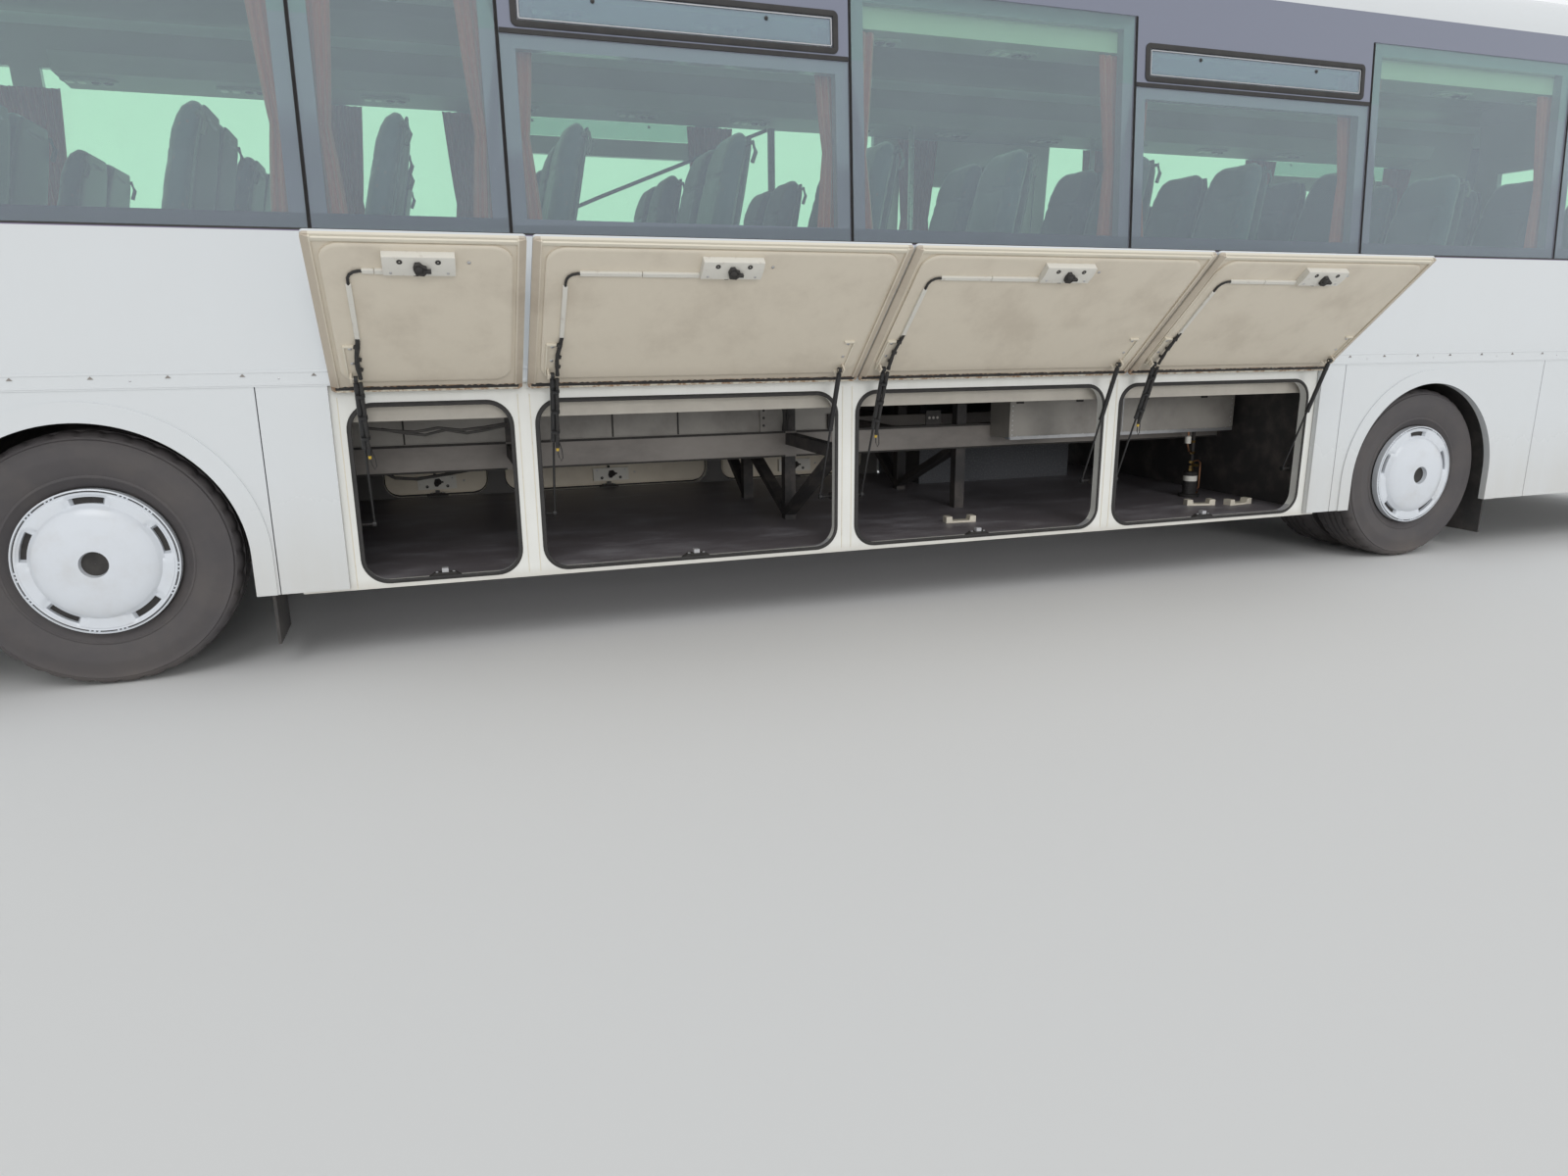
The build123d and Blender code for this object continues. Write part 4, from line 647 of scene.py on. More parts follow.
# Meshes: forms gathered into one piece
def rounded(low, high, corner, steps=6):
    """Corner centres and outward directions round a rectangle with rounded corners."""
    found = []
    for number, (x,
                 y) in enumerate(((high[0] - corner, high[1] - corner), (low[0] + corner, high[1] - corner),
                                     (low[0] + corner, low[1] + corner),
                                  (high[0] - corner, low[1] + corner))):
        for step in range(steps + 1):
            turn = math.pi / 2 * (number + step / steps)
            found.append((Vector((x, y, 0)), Vector((math.cos(turn), math.sin(turn), 0))))
    return found


class Shape:
    """Points and faces of one piece, drawn in the axes of its place."""

    def __init__(self, place=None):
        self.place = place or Matrix()
        self.points = []
        self.faces = []
        self.finishes = []

    def form(self, points, faces, finish=0):
        first = len(self.points)
        self.points += [self.place @ Vector(point) for point in points]
        self.faces += [[first + corner for corner in face] for face in faces]
        self.finishes += [finish] * len(faces)

    def skin(self, rows, finish=0, loop=False, ends=False, wrap=False):
        """Skin over rows of points. loop closes each row, wrap joins the last row to the first."""
        width = len(rows[0])
        height = len(rows)
        pairs = [(c, (c + 1) % width) for c in range(width if loop else width - 1)]
        faces = [[r * width + a, r * width + b, (r + 1) % height * width + b, (r + 1) % height * width + a]
                 for r in range(height if wrap else height - 1) for a, b in pairs]
        if ends:
            faces += [list(range(width)), [(height - 1) * width + c for c in range(width)]]
        self.form([point for row in rows for point in row], faces, finish)

    def prism(self, outline, start, end, finish=0, axis=0):
        """Outline in the other two axes, drawn along one axis."""
        order = ((0, 1, 2), (1, 0, 2), (1, 2, 0))[axis]
        rows = [[[(t, u, v)[order[n]] for n in range(3)] for u, v in outline] for t in (start, end)]
        self.skin(rows, finish, True, True)

    def box(self, low, high, finish=0):
        (x0, y0, z0), (x1, y1, z1) = low, high
        self.prism([(y0, z0), (y1, z0), (y1, z1), (y0, z1)], x0, x1, finish)

    def tube(self, path, radius, finish=0, sides=10):
        """Round bar along points. radius is a number, or one for each point."""
        path = [Vector(point) for point in path]
        rows = []
        for n, point in enumerate(path):
            run = (path[min(n + 1, len(path) - 1)] - path[max(n - 1, 0)]).normalized()
            across = run.cross(Vector((0, 0, 1)) if abs(run.z) < 0.9 else Vector((1, 0, 0))).normalized()
            over = run.cross(across)
            reach = radius[n] if isinstance(radius, list) else radius
            rows.append([point + reach * (across * math.cos(turn) + over * math.sin(turn))
                         for turn in [math.tau * k / sides for k in range(sides)]])
        self.skin(rows, finish, True, True)

    def lathe(self, profile, finish=0, steps=48, centre=(0.0, 0.0, 0.0)):
        """Closed profile of radius and offset, turned about a line along the local Z."""
        x, y, z = centre
        rows = [[(x + radius * math.cos(turn), y + radius * math.sin(turn), z + offset)
                 for radius, offset in profile]
                for turn in [math.tau * k / steps for k in range(steps)]]
        self.skin(rows, finish, True, wrap=True)

    def dome(self, point, radius, height, finish=0, steps=10):
        """Round head of a rivet, screw or knob, out along the local Z."""
        self.lathe([(radius, -0.0005), (radius * 0.94, height * 0.55), (radius * 0.6, height * 0.9),
                    (radius * 0.02, height), (radius * 0.02, -0.0005)], finish, steps, point)

    def frame(self, low, high, corner, levels, finish=0, filled=False, steps=6):
        """Levels of outward reach and lift round a rounded rectangle: a plate if filled, or else a ring."""
        places = rounded(low, high, corner, steps)
        rows = [[centre + out * (corner + reach) + Vector((0, 0, lift)) for centre, out in places]
                for reach, lift in levels]
        self.skin(rows, finish, True, filled, not filled)

    def make(self, name, body, slot, *finishes, sharp=32, bevel=0.0):
        """Object of the gathered forms, riding on a body."""
        mesh = bpy.data.meshes.new(name)
        mesh.from_pydata(self.points, [], self.faces)
        for finish in finishes:
            mesh.materials.append(MATERIALS[finish])
        mesh.polygons.foreach_set("material_index", self.finishes)
        tidy = bmesh.new()
        tidy.from_mesh(mesh)
        bmesh.ops.recalc_face_normals(tidy, faces=tidy.faces)
        tidy.to_mesh(mesh)
        tidy.free()
        mesh.polygons.foreach_set("use_smooth", [True] * len(mesh.polygons))
        mesh.set_sharp_from_angle(angle=math.radians(sharp))
        piece = bpy.data.objects.new(name, mesh)
        bpy.context.scene.collection.objects.link(piece)
        if bevel:
            rounding = piece.modifiers.new("edges", "BEVEL")
            rounding.width = bevel
            rounding.segments = 2
            rounding.limit_method = "ANGLE"
        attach(piece, body)
        return piece


def axes_at(origin, across, up, out):
    """Placing matrix from an origin and three directions."""
    return Matrix.Translation(origin) @ Matrix((across, up, out)).transposed().to_4x4()


def lid_place(hand, opened):
    """Axes of a lid's inner side: X the station, Y down the lid from the hinge, Z in from its face."""
    turn = math.radians(opened - 90)
    return axes_at((FRONT_AXLE_X, MID_Y + hand * SIDE, HINGE_Z), (-1, 0, 0),
                   (0, hand * math.cos(turn), math.sin(turn)), (0, hand * math.sin(turn), -math.cos(turn)))


def glass_place(hand):
    """Axes of the leaning window band: X is the station, Y goes up the glass, Z out."""
    return axes_at((FRONT_AXLE_X, MID_Y + hand * SIDE, WINDOW_Z), (-1, 0, 0),
                   Vector((0, -hand * LEAN, 1)).normalized(), Vector((0, hand, LEAN)).normalized())


def face_place(hand, y):
    """Axes of an upright side face: X is the station, Y up, Z out."""
    return axes_at((FRONT_AXLE_X, MID_Y + hand * y, 0), (-1, 0, 0), (0, 0, 1), (0, hand, 0))


def wheel_place(hand, axle_x, y):
    """Axes of a wheel: Z out along its axle, Y up."""
    return axes_at((axle_x, MID_Y + hand * y, TYRE_RADIUS), (-1, 0, 0), (0, 0, 1), (0, hand, 0))


# Tyres and wheel covers
TYRE_Y = 1.058
TWIN_PITCH = 0.335
HUB_LIFT = 0.190
TREAD = [(0.286, 0.108), (0.300, 0.119), (0.318, 0.128), (0.321, 0.1315), (0.327, 0.1315), (0.331, 0.129),
         (0.350, 0.137), (0.392, 0.1435), (0.402, 0.145), (0.412, 0.1435), (0.440, 0.142), (0.458, 0.139),
         (0.462, 0.1405), (0.466, 0.1345), (0.474, 0.132), (0.488, 0.117), (0.4925, 0.104), (0.494, 0.074),
         (0.482, 0.070), (0.482, 0.062), (0.4945, 0.058), (0.495, 0.028), (0.483, 0.024), (0.483, 0.016),
         (0.495, 0.012)]
TREAD_STEPS = 144
DISH = [(0.0, HUB_LIFT - 0.022), (0.047, HUB_LIFT - 0.022), (0.050, HUB_LIFT), (0.072, HUB_LIFT),
        (0.150, 0.182), (0.192, 0.171), (0.210, 0.160), (0.219, 0.146), (0.226, 0.140), (0.256, 0.140),
        (0.262, 0.147), (0.268, 0.148), (0.270, 0.143), (0.274, 0.143), (0.276, 0.148), (0.281, 0.146)]
DISH_RADII = [0.0005, 0.030, 0.0465, 0.0475, 0.0500, 0.058, 0.072, 0.100, 0.130, 0.150, 0.172, 0.192, 0.202,
              0.205, 0.210, 0.219, 0.2262, 0.2268, 0.2512, 0.2518, 0.2585, 0.262, 0.265, 0.268, 0.270, 0.274,
              0.276, 0.281]
DISH_STEPS = 180
DISH_BACK = 0.112


def tyre(shape, inward):
    """Ribbed tread with notched shoulders and ringed side walls."""
    profile = TREAD + [(radius, -offset) for radius, offset in reversed(TREAD)] + [(0.2865, 0.0)]
    rows = []
    for step in range(TREAD_STEPS):
        turn = math.tau * step / TREAD_STEPS
        notch = 0.007 if step % 4 == 0 else 0.0
        row = []
        for radius, offset in profile:
            cut = notch if abs(offset) > 0.07 and radius > 0.484 else 0.0
            row.append(((radius - cut) * math.cos(turn), (radius - cut) * math.sin(turn), offset - inward))
        rows.append(row)
    shape.skin(rows, 0, True, wrap=True)


def cover_lift(radius, degrees):
    """Height of the wheel cover's face, and whether that place is in a slot."""
    lift = DISH[-1][1]
    for (near, low), (far, high) in zip(DISH, DISH[1:]):
        if near <= radius <= far:
            lift = low + (high - low) * (radius - near) / (far - near)
    from_slot = abs((degrees - 90 + 36) % 72 - 36)
    from_pad = 36 - from_slot
    pad_half = 15 + 6 * (radius - 0.206) / 0.053
    if 0.204 < radius < 0.262 and from_pad < pad_half:
        lift = max(lift, 0.1495 - 0.002 * max(0.0, from_pad - pad_half + 2))
    slotted = 0.2265 < radius < 0.2515 and from_slot < 12.5
    return (DISH_BACK + 0.010 if slotted else lift), slotted


def wheel_cover(shape):
    """Domed cover with slots, raised pads and clip marks, and the steel rim behind it."""
    rows = []
    for step in range(DISH_STEPS):
        degrees = 360 * step / DISH_STEPS
        turn = math.radians(degrees)
        face = [(radius, cover_lift(radius, degrees + 0.01)[0]) for radius in DISH_RADII]
        rows.append([(radius * math.cos(turn), radius * math.sin(turn), lift)
                     for radius, lift in face + [(0.281, DISH_BACK), (0.0005, DISH_BACK)]])
    shape.skin(rows, 0, True, wrap=True)
    width = len(DISH_RADII) + 2
    # Slot floors, the hub hole and the narrow groove take the near-black finish: floors closing the openings,
    # part the dark rim behind and part painted shade, and painted shade in the groove
    for step in range(DISH_STEPS):
        for ring in range(len(DISH_RADII) - 1):
            middle = (DISH_RADII[ring] + DISH_RADII[ring + 1]) / 2
            slotted = cover_lift(middle, 360 * (step + 0.5) / DISH_STEPS)[1]
            if slotted or middle < 0.047 or 0.270 < middle < 0.274:
                shape.finishes[step * width + ring] = 1
    for mark in range(10):
        for beside in (-3.2, 0.0, 3.2):
            turn = math.radians(72 * (mark // 2) + (26 if mark % 2 else -26) + 90 + beside)
            shape.dome((0.272 * math.cos(turn), 0.272 * math.sin(turn), 0.1425), 0.0045, 0.005, 0, 6)
    shape.lathe([(0.2862, 0.112), (0.2862, -0.112), (0.272, -0.112), (0.262, -0.06), (0.255, 0.0),
                 (0.245, 0.05), (0.120, 0.070), (0.060, 0.070), (0.060, 0.090), (0.130, 0.090),
                 (0.250, 0.075), (0.272, 0.110)], 2)
    shape.lathe([(0.0005, 0.088), (0.105, 0.088), (0.105, -0.050), (0.0005, -0.050)], 2, 32)


for hand, side in ((1, "left"), (-1, "right")):
    for end, axle_x in (("front", FRONT_AXLE_X), ("rear", FRONT_AXLE_X - WHEELBASE)):
        tyres = Shape(wheel_place(hand, axle_x, TYRE_Y))
        tyre(tyres, 0.0)
        if end == "rear":
            tyre(tyres, TWIN_PITCH)
        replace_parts(tyres.make(f"tread_{end}_{side}", f"wheel_{end}_{side}", "tyre_rubber", "tyre_rubber"),
                    f"tyre_{end}_{side}")
        cover = Shape(wheel_place(hand, axle_x, TYRE_Y))
        wheel_cover(cover)
        if end == "rear":
            cover.lathe([(0.2862, 0.112 - TWIN_PITCH), (0.2862, -0.112 - TWIN_PITCH),
                         (0.272, -0.112 - TWIN_PITCH), (0.255, -0.05 - TWIN_PITCH),
                         (0.250, 0.0 - TWIN_PITCH), (0.105, 0.02 - TWIN_PITCH), (0.105, 0.04 - TWIN_PITCH),
                         (0.262, 0.02 - TWIN_PITCH), (0.272, 0.105 - TWIN_PITCH)], 2)
        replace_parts(cover.make(f"cover_{end}_{side}", f"wheel_{end}_{side}", "wheel_cover", "cover_white",
                               "slot_black", "dark_steel"), f"wheel_{end}_{side}")


# Luggage lids: pressed lining, latch, trunking and strut pads
PRESS_INSET = 0.046
LATCH_HALF = 0.118
LATCH_SECTION = [(0.746, 0.0295), (0.746, 0.0635), (0.706, 0.0665), (0.662, 0.0612), (0.662, 0.0295)]
LEVER = [(-0.012, -0.024), (0.014, -0.027), (0.026, -0.012), (0.024, 0.008), (0.012, 0.012), (0.002, 0.024),
         (-0.014, 0.022), (-0.020, 0.002)]
TRUNK = 0.009
TRUNK_TOP = 0.660
STRUT_STATION = 0.055
STRUT_ALONG = 0.130
STRUT_DEPTH = 0.058
STRUT_FOOT = (1.150, 0.570)
SIDE_WEDGE = ((0.002, 0.0215), (0.002, 0.0225), (0.021, 0.0315), (0.027, 0.0325), (0.031, 0.0305),
              (0.031, 0.0215))
LATCH_SOCKET = ((0.0095, -0.004), (0.0095, 0.0012), (0.0075, 0.0012), (0.0005, -0.001), (0.0005, -0.004))


def lid_lining(hand, opened, front, rear, name):
    """Pressed panel, side wedges, folded flange, rubber root strip and latch of one lid."""
    middle = (front + rear) / 2
    lining = Shape(lid_place(hand, opened))
    lining.frame((front + PRESS_INSET, 0.078), (rear - PRESS_INSET, 0.772), 0.070,
                 [(0.0, LID_SKIN - 0.0005), (0.0, LID_THICK + 0.0005), (-0.006, LID_THICK + 0.0038),
                  (-0.014, LID_THICK + 0.0042)], 0, True)
    for edge, toward in ((front, 1), (rear, -1)):
        lining.prism([(edge + toward * u, w) for u, w in SIDE_WEDGE], 0.048, 0.798, 0, 1)
    lining.prism([(0.776, 0.0215), (0.792, 0.0215), (0.7945, 0.0235), (0.792, 0.0298), (0.780, 0.0298),
                  (0.776, 0.0275)], front + 0.031, rear - 0.031)
    lining.make(f"lining_{name}", f"lid_{name}", "lid_paint", "open_lid" if hand > 0 else "closed_lid",
                bevel=0.001)

    strip = Shape(lid_place(hand, opened))
    rows = []
    shred = random.Random(f"strip {name}")
    count = round((rear - front - 0.03) / 0.012)
    for step in range(count + 1):
        station = front + 0.015 + (rear - front - 0.03) * step / count
        hem = 0.039 + shred.uniform(-0.003, 0.003) + (0.003 if step % 2 else 0.0)
        rows.append([(station, 0.026, 0.0215), (station, hem, 0.0215), (station, hem, 0.0250),
                     (station, 0.032, 0.0262), (station, 0.026, 0.0262)])
    strip.skin(rows, 0, True, True)
    strip.prism([(0.015, 0.0215), (0.0262, 0.0215), (0.0262, 0.0272), (0.0155, 0.0268)], front + 0.012,
                rear - 0.012, 1)
    strip.make(f"hinge_strip_{name}", f"lid_{name}", "seal_rubber", "seal_rubber", "rusty_cream")

    latch = Shape(lid_place(hand, opened))
    latch.prism(LATCH_SECTION, middle - LATCH_HALF, middle + LATCH_HALF)
    for beside in (-0.062, 0.062):
        latch.lathe(LATCH_SOCKET, 1, 20, (middle + beside, 0.727, 0.0655))
        latch.dome((middle + 1.5 * beside, 0.676, 0.0625), 0.005, 0.003, 2)
    latch.prism([(middle + u, 0.704 + v) for u, v in LEVER], 0.062, 0.080, 1, 2)
    latch.dome((middle - 0.002, 0.706, 0.079), 0.014, 0.010, 1, 20)
    latch.box((middle + 0.012, 0.694, 0.072), (middle + 0.038, 0.704, 0.086), 1)
    latch.box((middle - 0.020, 0.648, 0.0335), (middle - 0.004, 0.664, 0.050), 1)
    latch.dome((middle + 0.165, 0.700, LID_THICK + 0.004), 0.007, 0.004, 2)
    latch.make(f"latch_{name}", f"lid_{name}", "lid_paint", "latch_white", "slot_black",
               "bright_steel", bevel=0.0025)


def lid_wiring(bay_front, name, number):
    """Trunking from the latch to the front strut, and the cable that leaves it."""
    strut = bay_front + STRUT_STATION
    run = strut + 0.028
    lid_front, lid_rear = LEFT_LIDS[number - 1]
    latch_edge = (lid_front + lid_rear) / 2 - LATCH_HALF
    joint = (run + latch_edge) / 2 + 0.03
    trunk = Shape(lid_place(1, LID_OPEN))
    top = LID_THICK + 0.004
    for start, end, swell in ((run + 0.048, joint - 0.001, 0.0), (joint + 0.001, latch_edge, 0.0006)):
        trunk.box((start, TRUNK_TOP - TRUNK - swell, top - 0.001),
                  (end, TRUNK_TOP + TRUNK + swell, top + 0.011 + swell))
    trunk.box((run - TRUNK, 0.322, top - 0.001), (run + TRUNK, 0.600, top + 0.011))
    trunk.make(f"trunking_{name}", f"lid_{name}", "lid_paint", "latch_white", bevel=0.002)
    cable = Shape(lid_place(1, LID_OPEN))
    cable.tube([(run + 0.056, 0.660, top + 0.006), (run + 0.040, 0.660, top + 0.006),
                (run + 0.022, 0.656, top + 0.007), (run + 0.008, 0.645, top + 0.007),
                (run + 0.001, 0.628, top + 0.006), (run, 0.606, top + 0.006), (run, 0.592, top + 0.006)],
               0.0052)
    shred = random.Random(f"cable {name}")
    path = [(run, 0.332, top + 0.006), (run - 0.001, 0.312, top + 0.008), (run - 0.005, 0.285, top + 0.012),
            (run - 0.012, 0.250, top + 0.018), (run - 0.014, 0.215, top + 0.021),
            (run - 0.013, 0.185, top + 0.024), (run - 0.011, 0.160, top + 0.027),
            (run - 0.010, 0.138, top + 0.030)]
    cable.tube(path, [0.0075 + shred.uniform(-0.0012, 0.0022) for point in path])
    for place, reach in ((0.296, 0.0115), (0.232, 0.012), (0.176, 0.0115)):
        cable.tube([(run - 0.006, place, top + 0.009), (run - 0.009, place - 0.010, top + 0.016)], reach, 0,
                   8)
    cable.make(f"lid_cable_{name}", f"lid_{name}", "strut_black", "loom_black")


def strut_dressing(stations, number):
    """Taped loom down the front strut's barrel to its connector, and end caps of the barrels."""
    turn = math.radians(LID_OPEN - 90)
    top_y = SIDE + STRUT_ALONG * math.cos(turn) + STRUT_DEPTH * math.sin(turn)
    top_z = HINGE_Z + STRUT_ALONG * math.sin(turn) - STRUT_DEPTH * math.cos(turn)
    run = Vector((0, STRUT_FOOT[0] - top_y, STRUT_FOOT[1] - top_z)).normalized()
    for index, station in enumerate(stations):
        dress = Shape(axes_at((at(station), MID_Y + top_y, top_z), (-1, 0, 0), run.cross(Vector((-1, 0, 0))),
                              run))
        dress.lathe([(0.0108, 0.282), (0.0122, 0.284), (0.0122, 0.2935), (0.0075, 0.2965), (0.0056, 0.2965),
                     (0.0056, 0.282)], 1, 20)
        dress.lathe([(0.0108, 0.040), (0.0118, 0.042), (0.0118, 0.052), (0.0108, 0.054)], 1, 20)
        if index == 0:
            shred = random.Random(f"loom {number}")
            path = [(0.016, 0.012, 0.010), (0.017, 0.010, 0.040), (0.015, 0.012, 0.085),
                    (0.017, 0.009, 0.130), (0.014, 0.012, 0.175), (0.016, 0.010, 0.220),
                    (0.014, 0.012, 0.262), (0.015, 0.011, 0.290)]
            dress.tube(path, [0.0078 + shred.uniform(-0.001, 0.002) for point in path])
            for place in (0.060, 0.150, 0.238):
                dress.tube([(0.008, 0.006, place), (0.008, 0.006, place + 0.012)], 0.0185, 1, 14)
            dress.tube([(0.015, 0.011, 0.286), (0.015, 0.012, 0.318)], 0.0085, 1, 8)
            dress.tube([(0.015, 0.012, 0.316), (0.015, 0.012, 0.332)], 0.0062, 2, 8)
            dress.tube([(0.015, 0.012, 0.330), (0.020, 0.016, 0.360), (0.029, 0.020, 0.378),
                        (0.036, 0.016, 0.366), (0.034, 0.008, 0.335), (0.024, 0.003, 0.300),
                        (0.014, 0.001, 0.286)], 0.0021, 0, 6)
        dress.make(f"strut_dressing_{number}_{index + 1}", f"strut_barrel_{number}", "strut_black",
                   "loom_black", "black_plastic", "connector_yellow")


def strut_pads(stations, number, lid_front, lid_rear):
    """Pale edges round the plates that carry the struts."""
    pads = Shape(lid_place(1, LID_OPEN))
    for station in stations:
        toward = -1 if station < (lid_front + lid_rear) / 2 else 1
        centre = station + toward * 0.004
        outer = centre + toward * 0.022
        pads.box((centre - 0.022, 0.284, LID_THICK), (centre + 0.022, 0.290, LID_THICK + 0.014))
        pads.box((outer - 0.0025, 0.112, LID_THICK), (outer + 0.0025, 0.289, LID_THICK + 0.012))
        pads.prism([(centre - 0.021, LID_THICK), (centre + 0.021, LID_THICK),
                    (centre - toward * 0.015, 0.052)],
                   0.096, 0.102, 0, 1)
        for along in (0.270, 0.190):
            pads.dome((centre, along, 0.0322), 0.0085, 0.005, 1, 6)
    pads.make(f"strut_pads_{number}", f"lid_left_{number}", "lid_paint", "strip_cream", "bright_steel",
              bevel=0.001)


for number, ((front, rear), (bay_front, bay_rear)) in enumerate(zip(LEFT_LIDS, LEFT_BAYS), 1):
    name = f"left_{number}"
    stations = [bay_front + STRUT_STATION] + ([bay_rear - STRUT_STATION] if number > 1 else [])
    lid_lining(1, LID_OPEN, front, rear, name)
    lid_wiring(bay_front, name, number)
    strut_dressing(stations, number)
    strut_pads(stations, number, front, rear)
for number, (front, rear) in enumerate(RIGHT_LIDS, 1):
    lid_lining(-1, 0.0, front, rear, f"right_{number}")

# Bay mouths: seals and strikers
SEAL_BULB = [(-0.004, 0.0002), (-0.0085, 0.0030), (-0.0090, 0.0060), (-0.0070, 0.0088), (-0.0030, 0.0096),
             (0.0010, 0.0078), (0.0060, 0.0050), (0.0095, 0.0012), (0.0095, 0.0002)]
seals = Shape()
for hand, bays in ((1, LEFT_BAYS), (-1, RIGHT_BAYS)):
    seals.place = face_place(hand, BAY_FACE)
    for front, rear in bays:
        seals.frame((front, BAY_BOTTOM), (rear, BAY_TOP), 0.100, SEAL_BULB, 0, False, 10)
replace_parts(seals.make("mouth_seals", "coach", "seal_rubber", "seal_rubber"), "bay_seals")

STRIKER_FACE = 1.1705
strikers = Shape()
for hand, bays in ((1, LEFT_BAYS), (-1, RIGHT_BAYS)):
    for front, rear in bays:
        middle = (front + rear) / 2
        strikers.place = face_place(hand, STRIKER_FACE)
        strikers.prism([(middle - 0.066, BAY_BOTTOM), (middle + 0.066, BAY_BOTTOM),
                        (middle + 0.040, BAY_BOTTOM + 0.017), (middle - 0.040, BAY_BOTTOM + 0.017)],
                       0.0, 0.031, 0, 2)
        strikers.place = axes_at((FRONT_AXLE_X, MID_Y + hand * STRIKER_FACE, BAY_BOTTOM), (-1, 0, 0),
                                 (0, hand, 0), (0, 0, 1))
        for beside in (-0.034, 0.034):
            strikers.dome((middle + beside, 0.016, 0.017), 0.0075, 0.0045, 1, 12)
strikers.make("strikers", "coach", "bright_metal", "slot_black", "bright_steel", bevel=0.0015)


# Fittings in the bays
RAIL_FACE = 0.430
TUNNEL_FACE = 0.420
DUCT = (4.300, 5.850, 0.640, 0.745, 0.950)
DRYER_STATION = 5.640
DRYER_Y = 0.560

bay = Shape(face_place(1, 0.0))
for start, end in ((0.722, 1.587), (1.651, 3.046), (3.110, 5.925)):
    bay.box((start, 0.806, RAIL_FACE - 0.0005), (end, 0.817, RAIL_FACE + 0.006), 0)
    bay.box((start, 0.6795, RAIL_FACE - 0.0005), (end, 0.688, RAIL_FACE + 0.004), 0)
for station in (1.12, 2.12, 2.46):
    bay.box((station - 0.004, 0.820, TUNNEL_FACE - 0.001), (station + 0.004, 1.030, TUNNEL_FACE + 0.004), 0)
bay.box((2.905, 0.818, TUNNEL_FACE - 0.001), (2.945, 1.034, TUNNEL_FACE + 0.012), 1)
for step in range(5):
    bay.dome((2.925, 0.850 + 0.040 * step, TUNNEL_FACE + 0.0115), 0.0075, 0.0015, 0, 12)
bay.box((0.990, 0.940, TUNNEL_FACE - 0.001), (1.560, 0.972, TUNNEL_FACE + 0.022), 1)
bay.box((1.690, 0.948, TUNNEL_FACE - 0.001), (2.060, 0.985, TUNNEL_FACE + 0.022), 1)
bay.box((2.470, 0.985, TUNNEL_FACE - 0.001), (2.700, 0.999, TUNNEL_FACE + 0.040), 0)
bay.box((2.590, 0.958, TUNNEL_FACE + 0.010), (2.680, 0.992, TUNNEL_FACE + 0.052), 0)
bay.tube([(2.96, 1.02, 0.44), (3.00, 0.99, 0.47), (3.025, 0.93, 0.48), (3.03, 0.87, 0.47),
          (3.035, 0.822, 0.445)], 0.011, 0)
bay.tube([(2.99, 1.02, 0.44), (3.03, 0.98, 0.48), (3.043, 0.90, 0.49), (3.046, 0.822, 0.445)], 0.008, 0)
for start, end, low, high in ((0.99, 1.56, 0.930, 0.955), (1.05, 1.56, 0.915, 0.948)):
    span = [start + (end - start) * step / 6 for step in range(7)]
    dips = (0.0, 0.55, 0.9, 0.35, 0.85, 0.5, 0.0)
    bay.tube([(station, high - (high - low) * dip, 1.040 + 0.01 * dip) for station, dip in zip(span, dips)],
             0.006, 0)
bay.tube([(1.00, 0.70, 0.40), (1.06, 0.655, 0.35), (1.16, 0.640, 0.32), (1.30, 0.655, 0.30),
          (1.42, 0.676, 0.33)], 0.008, 0)
for station in (3.335, 3.93):
    bay.box((station - 0.045, 0.820, RAIL_FACE - 0.001), (station + 0.045, 0.900, RAIL_FACE + 0.008), 0)
    for step in range(3):
        bay.dome((station - 0.025 + 0.025 * step, 0.860, RAIL_FACE + 0.0075), 0.008, 0.001, 1, 12)
bay.make("bay_fittings", "coach", "frame_paint", "slot_black", "duct_sheet", bevel=0.0008)

duct = Shape(face_place(1, DUCT[2]))
for station in (DUCT[0] + 0.018, DUCT[1] - 0.018):
    for step in range(7):
        duct.dome((station, DUCT[3] + 0.020 + 0.027 * step, 0.0), 0.0045, 0.002, 0, 8)
for step in range(11):
    duct.dome((DUCT[0] + 0.05 + 0.145 * step, DUCT[3] + 0.012, 0.0), 0.0035, 0.0015, 0, 8)
for station in (4.36, 4.75, 5.20, 5.62):
    duct.box((station - 0.022, DUCT[4] - 0.012, -0.002), (station + 0.022, DUCT[4] + 0.004, 0.006), 1)
duct.prism([(DUCT[3] - 0.006, -0.045), (DUCT[3] - 0.006, 0.004), (DUCT[3] + 0.012, 0.004),
            (DUCT[3] + 0.012, 0.001), (DUCT[3] - 0.001, 0.001), (DUCT[3] - 0.001, -0.045)], DUCT[0] + 0.004,
           DUCT[1] - 0.004, 2)
duct.box((5.046, DUCT[3] + 0.002, 0.0), (5.052, DUCT[4] - 0.002, 0.003), 2)
duct.make("duct_dressing", "coach", "duct_beige", "bright_steel", "slot_black", "zinc_sheet")

